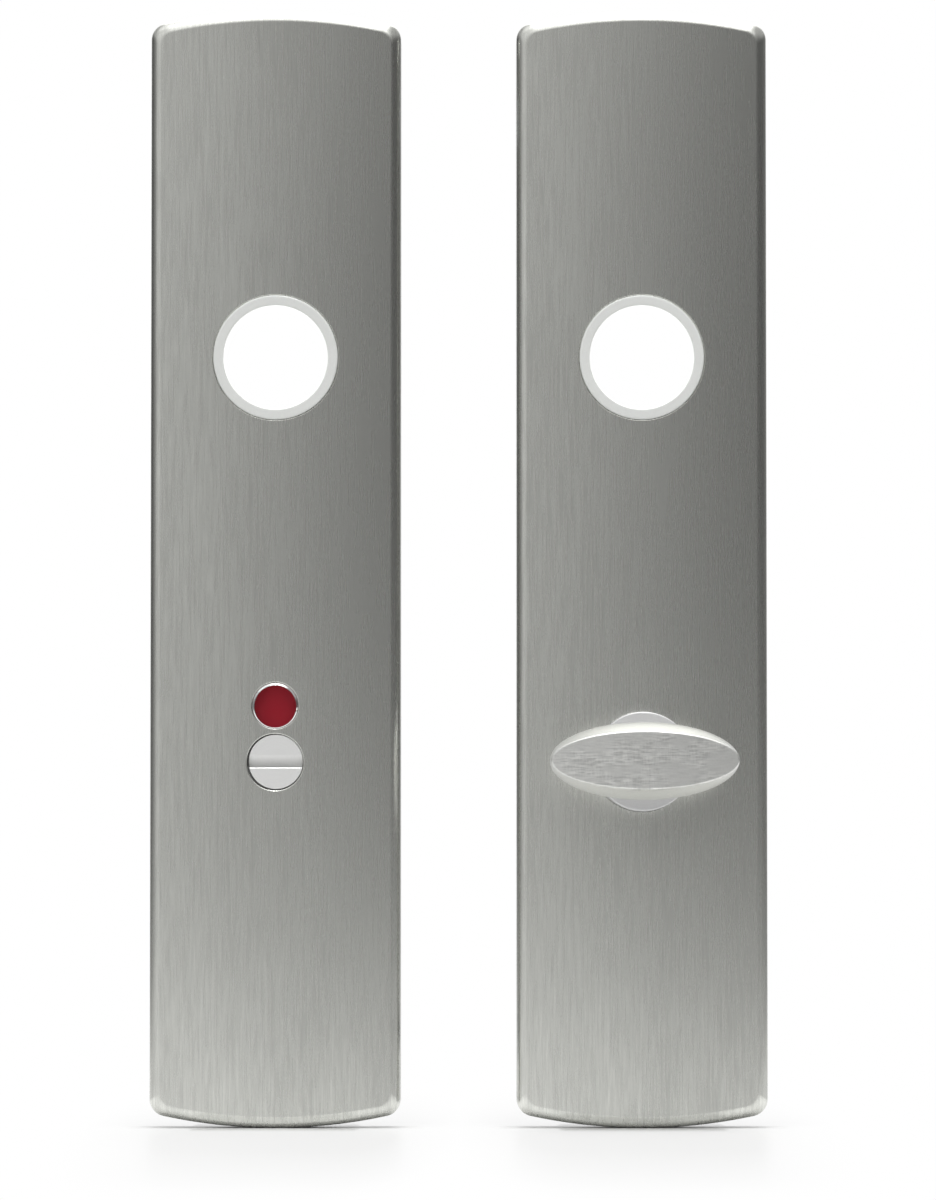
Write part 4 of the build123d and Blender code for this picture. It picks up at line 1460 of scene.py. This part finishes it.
@dataclass
class ThreadedBolts:
    """Fixing bolts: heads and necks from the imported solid, and threads that a node tree winds."""

    radius: float = 2.0
    pitch: float = 0.7
    ridge: float = 0.3
    start_h: float = -1.0
    end_h: float = -32.0
    runout: float = 0.6
    core_beyond: float = 0.3
    spacing: float = 150.0
    head_cut: float = 0.35
    broken_edge: float = 0.05
    turn_facets: int = 26
    ridge_facets: int = 5
    rod_facets: int = 32
    sharp_angle: float = 50.0

    def tree(self, finish: Finish) -> bpy.types.NodeTree:
        """The node tree of two threaded rods.

        Args:
            finish: Finish that the tree gives them.

        Returns:
            The tree, with named inputs for its sizes.
        """
        tree = bpy.data.node_groups.new("threaded_rods", "GeometryNodeTree")
        names = ("Radius", "Pitch", "Ridge", "Length", "Spacing")
        for name in names:
            tree.interface.new_socket(name=name, in_out="INPUT", socket_type="NodeSocketFloat")
        tree.interface.new_socket(
            name="Geometry", in_out="OUTPUT", socket_type="NodeSocketGeometry"
        )
        sheet = NodeSheet(tree)
        given = sheet.node("NodeGroupInput")
        radius, pitch, ridge, length, spacing = (sheet.out(given, name) for name in names)
        core = radius - ridge
        spiral = {
            "Resolution": self.turn_facets,
            "Rotations": length / pitch,
            "Start Radius": core,
            "End Radius": core,
            "Height": length,
        }
        helix = sheet.value("GeometryNodeCurveSpiral", {}, spiral)
        circle = {"Resolution": self.ridge_facets, "Radius": ridge}
        section = sheet.value("GeometryNodeCurvePrimitiveCircle", {}, circle)
        swept = {"Curve": helix, "Profile Curve": section, "Fill Caps": True}
        thread = sheet.value("GeometryNodeCurveToMesh", {}, swept)
        depth = length + 2 * self.core_beyond * MILLIMETRE
        cylinder = {"Vertices": self.rod_facets, "Radius": core, "Depth": depth}
        rod = sheet.value("GeometryNodeMeshCylinder", {}, cylinder)
        lift = sheet.value("ShaderNodeCombineXYZ", {}, {"Z": length * 0.5})
        raised = {"Geometry": rod, "Translation": lift}
        joined = sheet.node("GeometryNodeJoinGeometry")
        for part in (thread, sheet.value("GeometryNodeTransform", {}, raised)):
            sheet.feed(joined, {"Geometry": part})
        ends = {
            "Count": 2,
            "Start Location": sheet.value("ShaderNodeCombineXYZ", {}, {"Y": spacing * -0.5}),
            "Offset": sheet.value("ShaderNodeCombineXYZ", {}, {"Y": spacing}),
        }
        row = sheet.value("GeometryNodeMeshLine", {}, ends)
        both = {"Points": row, "Instance": sheet.out(joined)}
        pair = sheet.value("GeometryNodeInstanceOnPoints", {}, both)
        real = sheet.value("GeometryNodeRealizeInstances", {}, {"Geometry": pair})
        coated = {"Geometry": real, "Material": finish.material()}
        dressed = sheet.value("GeometryNodeSetMaterial", {}, coated)
        sheet.node("NodeGroupOutput", {}, {"Geometry": dressed})
        return tree

    def build(self) -> list[bpy.types.Object]:
        """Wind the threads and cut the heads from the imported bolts.

        Returns:
            The finished pieces.
        """
        host = placed("bolt_threads", bpy.data.meshes.new("bolt_threads"))
        winding = host.modifiers.new("threads", "NODES")
        winding.node_group = self.tree(ZINC_STEEL)
        sizes = {
            "Radius": self.radius,
            "Pitch": self.pitch,
            "Ridge": self.ridge,
            "Length": self.start_h - self.end_h - 2 * self.runout,
            "Spacing": self.spacing,
        }
        for item in winding.node_group.interface.items_tree:
            if item.in_out == "INPUT":
                winding[item.identifier] = sizes[item.name] * MILLIMETRE
        graph = bpy.context.evaluated_depsgraph_get()
        mesh = bpy.data.meshes.new_from_object(host.evaluated_get(graph), depsgraph=graph)
        host.modifiers.clear()
        shape = bmesh.new()
        shape.from_mesh(mesh)
        for vertex in shape.verts:
            x, y, z = vertex.co
            vertex.co = (
                Half.INSIDE.centre_x * MILLIMETRE - x,
                (DOOR_FACE_Y - self.start_h + self.runout) * MILLIMETRE + z,
                PLATE_MIDDLE_Z * MILLIMETRE + y,
            )
        bmesh.ops.remove_doubles(shape, verts=shape.verts, dist=1e-7)
        bmesh.ops.recalc_face_normals(shape, faces=shape.faces)
        shape.to_mesh(mesh)
        shape.free()
        mesh.set_sharp_from_angle(angle=math.radians(self.sharp_angle))
        host.data = mesh
        mesh.materials.clear()
        cut_h = self.start_h - self.head_cut
        heads = copied("inner_fixing_bolts", "bolt_heads", self.broken_edge, cut_h, True)
        return [
            finished(piece, "root", ZINC_STEEL, "inner_fixing_bolts")
            for piece in (host, heads)
        ]


@dataclass
class PackedParts:
    """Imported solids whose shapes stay, each with its own finish."""

    carriers: tuple[str, ...] = ("outer_backplate", "inner_backplate")
    springs: tuple[str, ...] = (
        "release_circlip",
        "thumbturn_circlip",
        "release_spring_washer",
        "thumbturn_spring_washer",
        "outer_cover_clips",
        "inner_cover_clips",
    )
    zinced: tuple[str, ...] = ("thumbturn_spindle", "spindle_pin", "outer_threaded_sleeves")

    def dress(self) -> None:
        """Give each solid its finish."""
        finishes: dict[str, Finish] = {
            "indicator_disc": DISC_PLASTIC,
            "indicator_red_field": FIELD_RED,
            "indicator_white_field": FIELD_WHITE,
        }
        finishes.update(dict.fromkeys(self.carriers, CARRIER_NYLON))
        finishes.update(dict.fromkeys(self.springs, SPRING_STEEL))
        finishes.update(dict.fromkeys(self.zinced, ZINC_STEEL))
        for name, finish in finishes.items():
            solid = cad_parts[name]
            if solid.data.materials:
                for index in range(len(solid.material_slots)):
                    solid.material_slots[index].material = finish.material()
            else:
                solid.data.materials.append(finish.material())
            LOG.info("%s: %s", name, finish.name)


# ---- Studio ----


@dataclass
class Studio:
    """Pale floor, soft light and a low camera in front of the plates."""

    eye: tuple[float, float, float] = (0.00145, -1.017, 0.041)
    aim: tuple[float, float, float] = (0.00145, -0.017, 0.0819)
    lens: float = 193.2
    sensor: float = 36.0
    light_aim: tuple[float, float, float] = (0.0, -0.01, 0.087)
    near_clip: float = 0.01

    # Brightness overhead: its level, the x of its middle, and where it starts beside and above
    above: float = 1.80
    above_x: float = 0.10
    above_side: tuple[float, float] = (0.22, 0.42)
    above_rise: tuple[float, float] = (0.20, 0.52)

    # The floor: its greys, how far off the far one begins and is reached, and its paper grain
    floor_half: float = 3.0
    floor_grey: Colour = (0.70, 0.70, 0.696)
    far_floor_grey: Colour = (0.23, 0.23, 0.23)
    far_range: tuple[float, float] = (0.08, 0.50)
    set_half: float = 0.06
    paper_scale: float = 900.0
    paper_depth: float = 0.00004

    # Where the plates stand on it: the y of their middle, half a width that throws the full
    # shadow, and the ranges in which the floor's own shading ends before and beside them
    foot_y: float = -0.013
    foot_half: float = 0.012
    foot_before: tuple[float, float] = (0.0035, 0.0065)
    foot_beside: tuple[float, float] = (0.019, 0.024)
    glow_range: tuple[float, float] = (0.02, 0.06)

    # Soft panels: where they hang, their width and height, and their power in watts
    panels: tuple[tuple[str, Triple, tuple[float, float], float], ...] = (
        ("overhead", (-0.15, -0.25, 1.0), (1.4, 0.9), 1.7),
        ("top_strip", (0.02, -0.09, 0.9), (0.30, 0.10), 2.0),
        ("left_fill", (-1.1, -1.1, 0.55), (1.2, 0.9), 0.6),
    )

    # White that is mixed into the floor, by the distance from the plates in tenths of a metre
    floor_white: tuple[tuple[float, float], ...] = (
        (0.035, 0.0),
        (0.075, 0.62),
        (0.38, 0.64),
        (0.88, 0.97),
        (1.0, 1.0),
    )

    # Brightness round the set, from the back by the left, the front and the right to the back
    surround: tuple[tuple[float, float], ...] = (
        (0.0, 1.0),
        (0.05, 0.90),
        (0.11, 0.10),
        (0.20, 0.10),
        (0.28, 0.26),
        (0.36, 0.46),
        (0.465, 0.57),
        (0.525, 0.035),
        (0.74, 0.10),
        (0.89, 0.22),
        (0.95, 0.90),
        (1.0, 1.0),
    )

    def build(self) -> None:
        """Set up everything round the object."""
        self.build_world()
        self.build_floor()
        self.build_lights()
        self.build_camera()

    def build_world(self) -> None:
        """White for the camera, and a studio with a dark flag in front for everything else."""
        world = bpy.data.worlds.new("studio")
        world.use_nodes = True
        bpy.context.scene.world = world
        sheet = NodeSheet(world.node_tree)
        x, y, z = sheet.axes(sheet.value("ShaderNodeTexCoord", which="Generated"))
        turn = sheet.maths("ARCTAN2", x, y * -1.0) / (2 * math.pi) + 0.5
        beside = sheet.step(sheet.maths("ABSOLUTE", x - self.above_x), *self.above_side)
        overhead = sheet.step(z, *self.above_rise) * (1 - beside * 0.8)
        above = (self.above, self.above, self.above)
        level = sheet.blend(overhead, sheet.ramp(turn, self.surround), above)
        studio = sheet.value("ShaderNodeBackground", {}, {"Color": level})
        white = sheet.value("ShaderNodeBackground", {}, {"Color": (1.0, 1.0, 1.0, 1.0)})
        seen = sheet.value("ShaderNodeLightPath", which="Is Camera Ray")
        mixed = sheet.value("ShaderNodeMixShader", {}, {0: seen, 1: studio, 2: white})
        sheet.node("ShaderNodeOutputWorld", {}, {"Surface": mixed})

    def build_floor(self) -> None:
        """A pale floor that turns white away from the plates and keeps their shadow."""
        reach = self.floor_half
        mesh = bpy.data.meshes.new("floor")
        square = ((-reach, -reach), (reach, -reach), (reach, reach), (-reach, reach))
        mesh.from_pydata([(x, y, 0.0) for x, y in square], [], [(0, 1, 2, 3)])
        floor = placed("floor", mesh)
        material = bpy.data.materials.new("floor")
        material.use_nodes = True
        sheet = NodeSheet(material.node_tree)
        place = sheet.position()
        x, y, _ = sheet.axes(place)
        far = sheet.maths("MAXIMUM", sheet.maths("ABSOLUTE", x) - self.set_half, y * -1.0)
        ahead = sheet.step(far, *self.far_range)
        grain = sheet.noise(place, (self.paper_scale,) * 3)
        looks = {
            "Base Color": sheet.blend(ahead, self.floor_grey, self.far_floor_grey),
            "Roughness": 0.30,
            "Normal": sheet.bump(grain, 0.15, self.paper_depth),
        }
        shaded = sheet.value("ShaderNodeBsdfPrincipled", {}, looks)
        plate_x = Half.INSIDE.centre_x * MILLIMETRE
        off_plate = sheet.maths("ABSOLUTE", sheet.maths("ABSOLUTE", x) - plate_x)
        beside = sheet.maths("MAXIMUM", off_plate - self.foot_half, 0.0)
        before = sheet.maths("ABSOLUTE", y - self.foot_y)
        path = sheet.node("ShaderNodeLightPath")
        glossy = sheet.out(path, "Is Glossy Ray")
        near = (1 - sheet.step(before, *self.glow_range)) * glossy
        glow = sheet.blend(near, (1.0, 1.0, 1.0), (1.15, 1.15, 1.15))
        white = sheet.value("ShaderNodeEmission", {}, {"Color": glow})
        offset = sheet.value("ShaderNodeCombineXYZ", {}, {0: beside * 5.0, 1: before * 0.45})
        whiter = sheet.ramp(sheet.distance(offset) * 10.0, self.floor_white)
        clear_before = sheet.step(before, *self.foot_before)
        clear_beside = sheet.step(off_plate, *self.foot_beside)
        open_floor = sheet.maths("MAXIMUM", clear_before, clear_beside)
        seen = sheet.maths("MAXIMUM", sheet.out(path, "Is Camera Ray"), glossy * (1 - ahead))
        fade = whiter * open_floor * seen
        mixed = sheet.value("ShaderNodeMixShader", {}, {0: fade, 1: shaded, 2: white})
        sheet.node("ShaderNodeOutputMaterial", {}, {"Surface": mixed})
        mesh.materials.append(material)

    @staticmethod
    def aimed(name: str, data: bpy.types.ID, place: Triple, aim: Triple) -> bpy.types.Object:
        """Put a lamp or the camera somewhere and turn it to what it faces.

        Args:
            name: Name of its object.
            data: The lamp or the camera.
            place: Where it is, in metres.
            aim: What it faces, in metres.

        Returns:
            The object.
        """
        made = placed(name, data)
        made.location = place
        gaze = Vector(aim) - Vector(place)
        made.rotation_euler = gaze.to_track_quat("-Z", "Y").to_euler()
        return made

    def build_lights(self) -> None:
        """A wide panel and a strip overhead, and a fill from the left front."""
        for name, place, size, power in self.panels:
            light = bpy.data.lights.new(name, "AREA")
            light.shape = "RECTANGLE"
            light.size, light.size_y = size
            light.energy = power
            self.aimed(name, light, place, self.light_aim)

    def build_camera(self) -> None:
        """A long lens straight in front, looking up a little from low down."""
        camera = bpy.data.cameras.new("camera")
        camera.lens = self.lens
        camera.sensor_width = self.sensor
        camera.clip_start = self.near_clip
        bpy.context.scene.camera = self.aimed("camera", camera, self.eye, self.aim)
        bpy.context.scene.view_settings.view_transform = "Standard"


def main() -> None:
    """Build the set, dress it and put it in the studio."""
    logging.basicConfig(level=logging.INFO, format="%(message)s")
    outer_holes = ((9.75, LEVER_Z), (4.4, LOCK_Z), (3.6, WINDOW_Z))
    inner_holes = ((9.75, LEVER_Z), (7.71, LOCK_Z))
    CoverPlate(Half.OUTSIDE, outer_holes).build()
    CoverPlate(Half.INSIDE, inner_holes).build()
    for half in Half:
        LeverBush(half).build()
    front = WindowAndRelease()
    front.build_lens()
    front.build_release()
    Thumbturn().build()
    ThreadedBolts().build()
    PackedParts().dress()
    Studio().build()


if __name__ == "__main__":
    main()
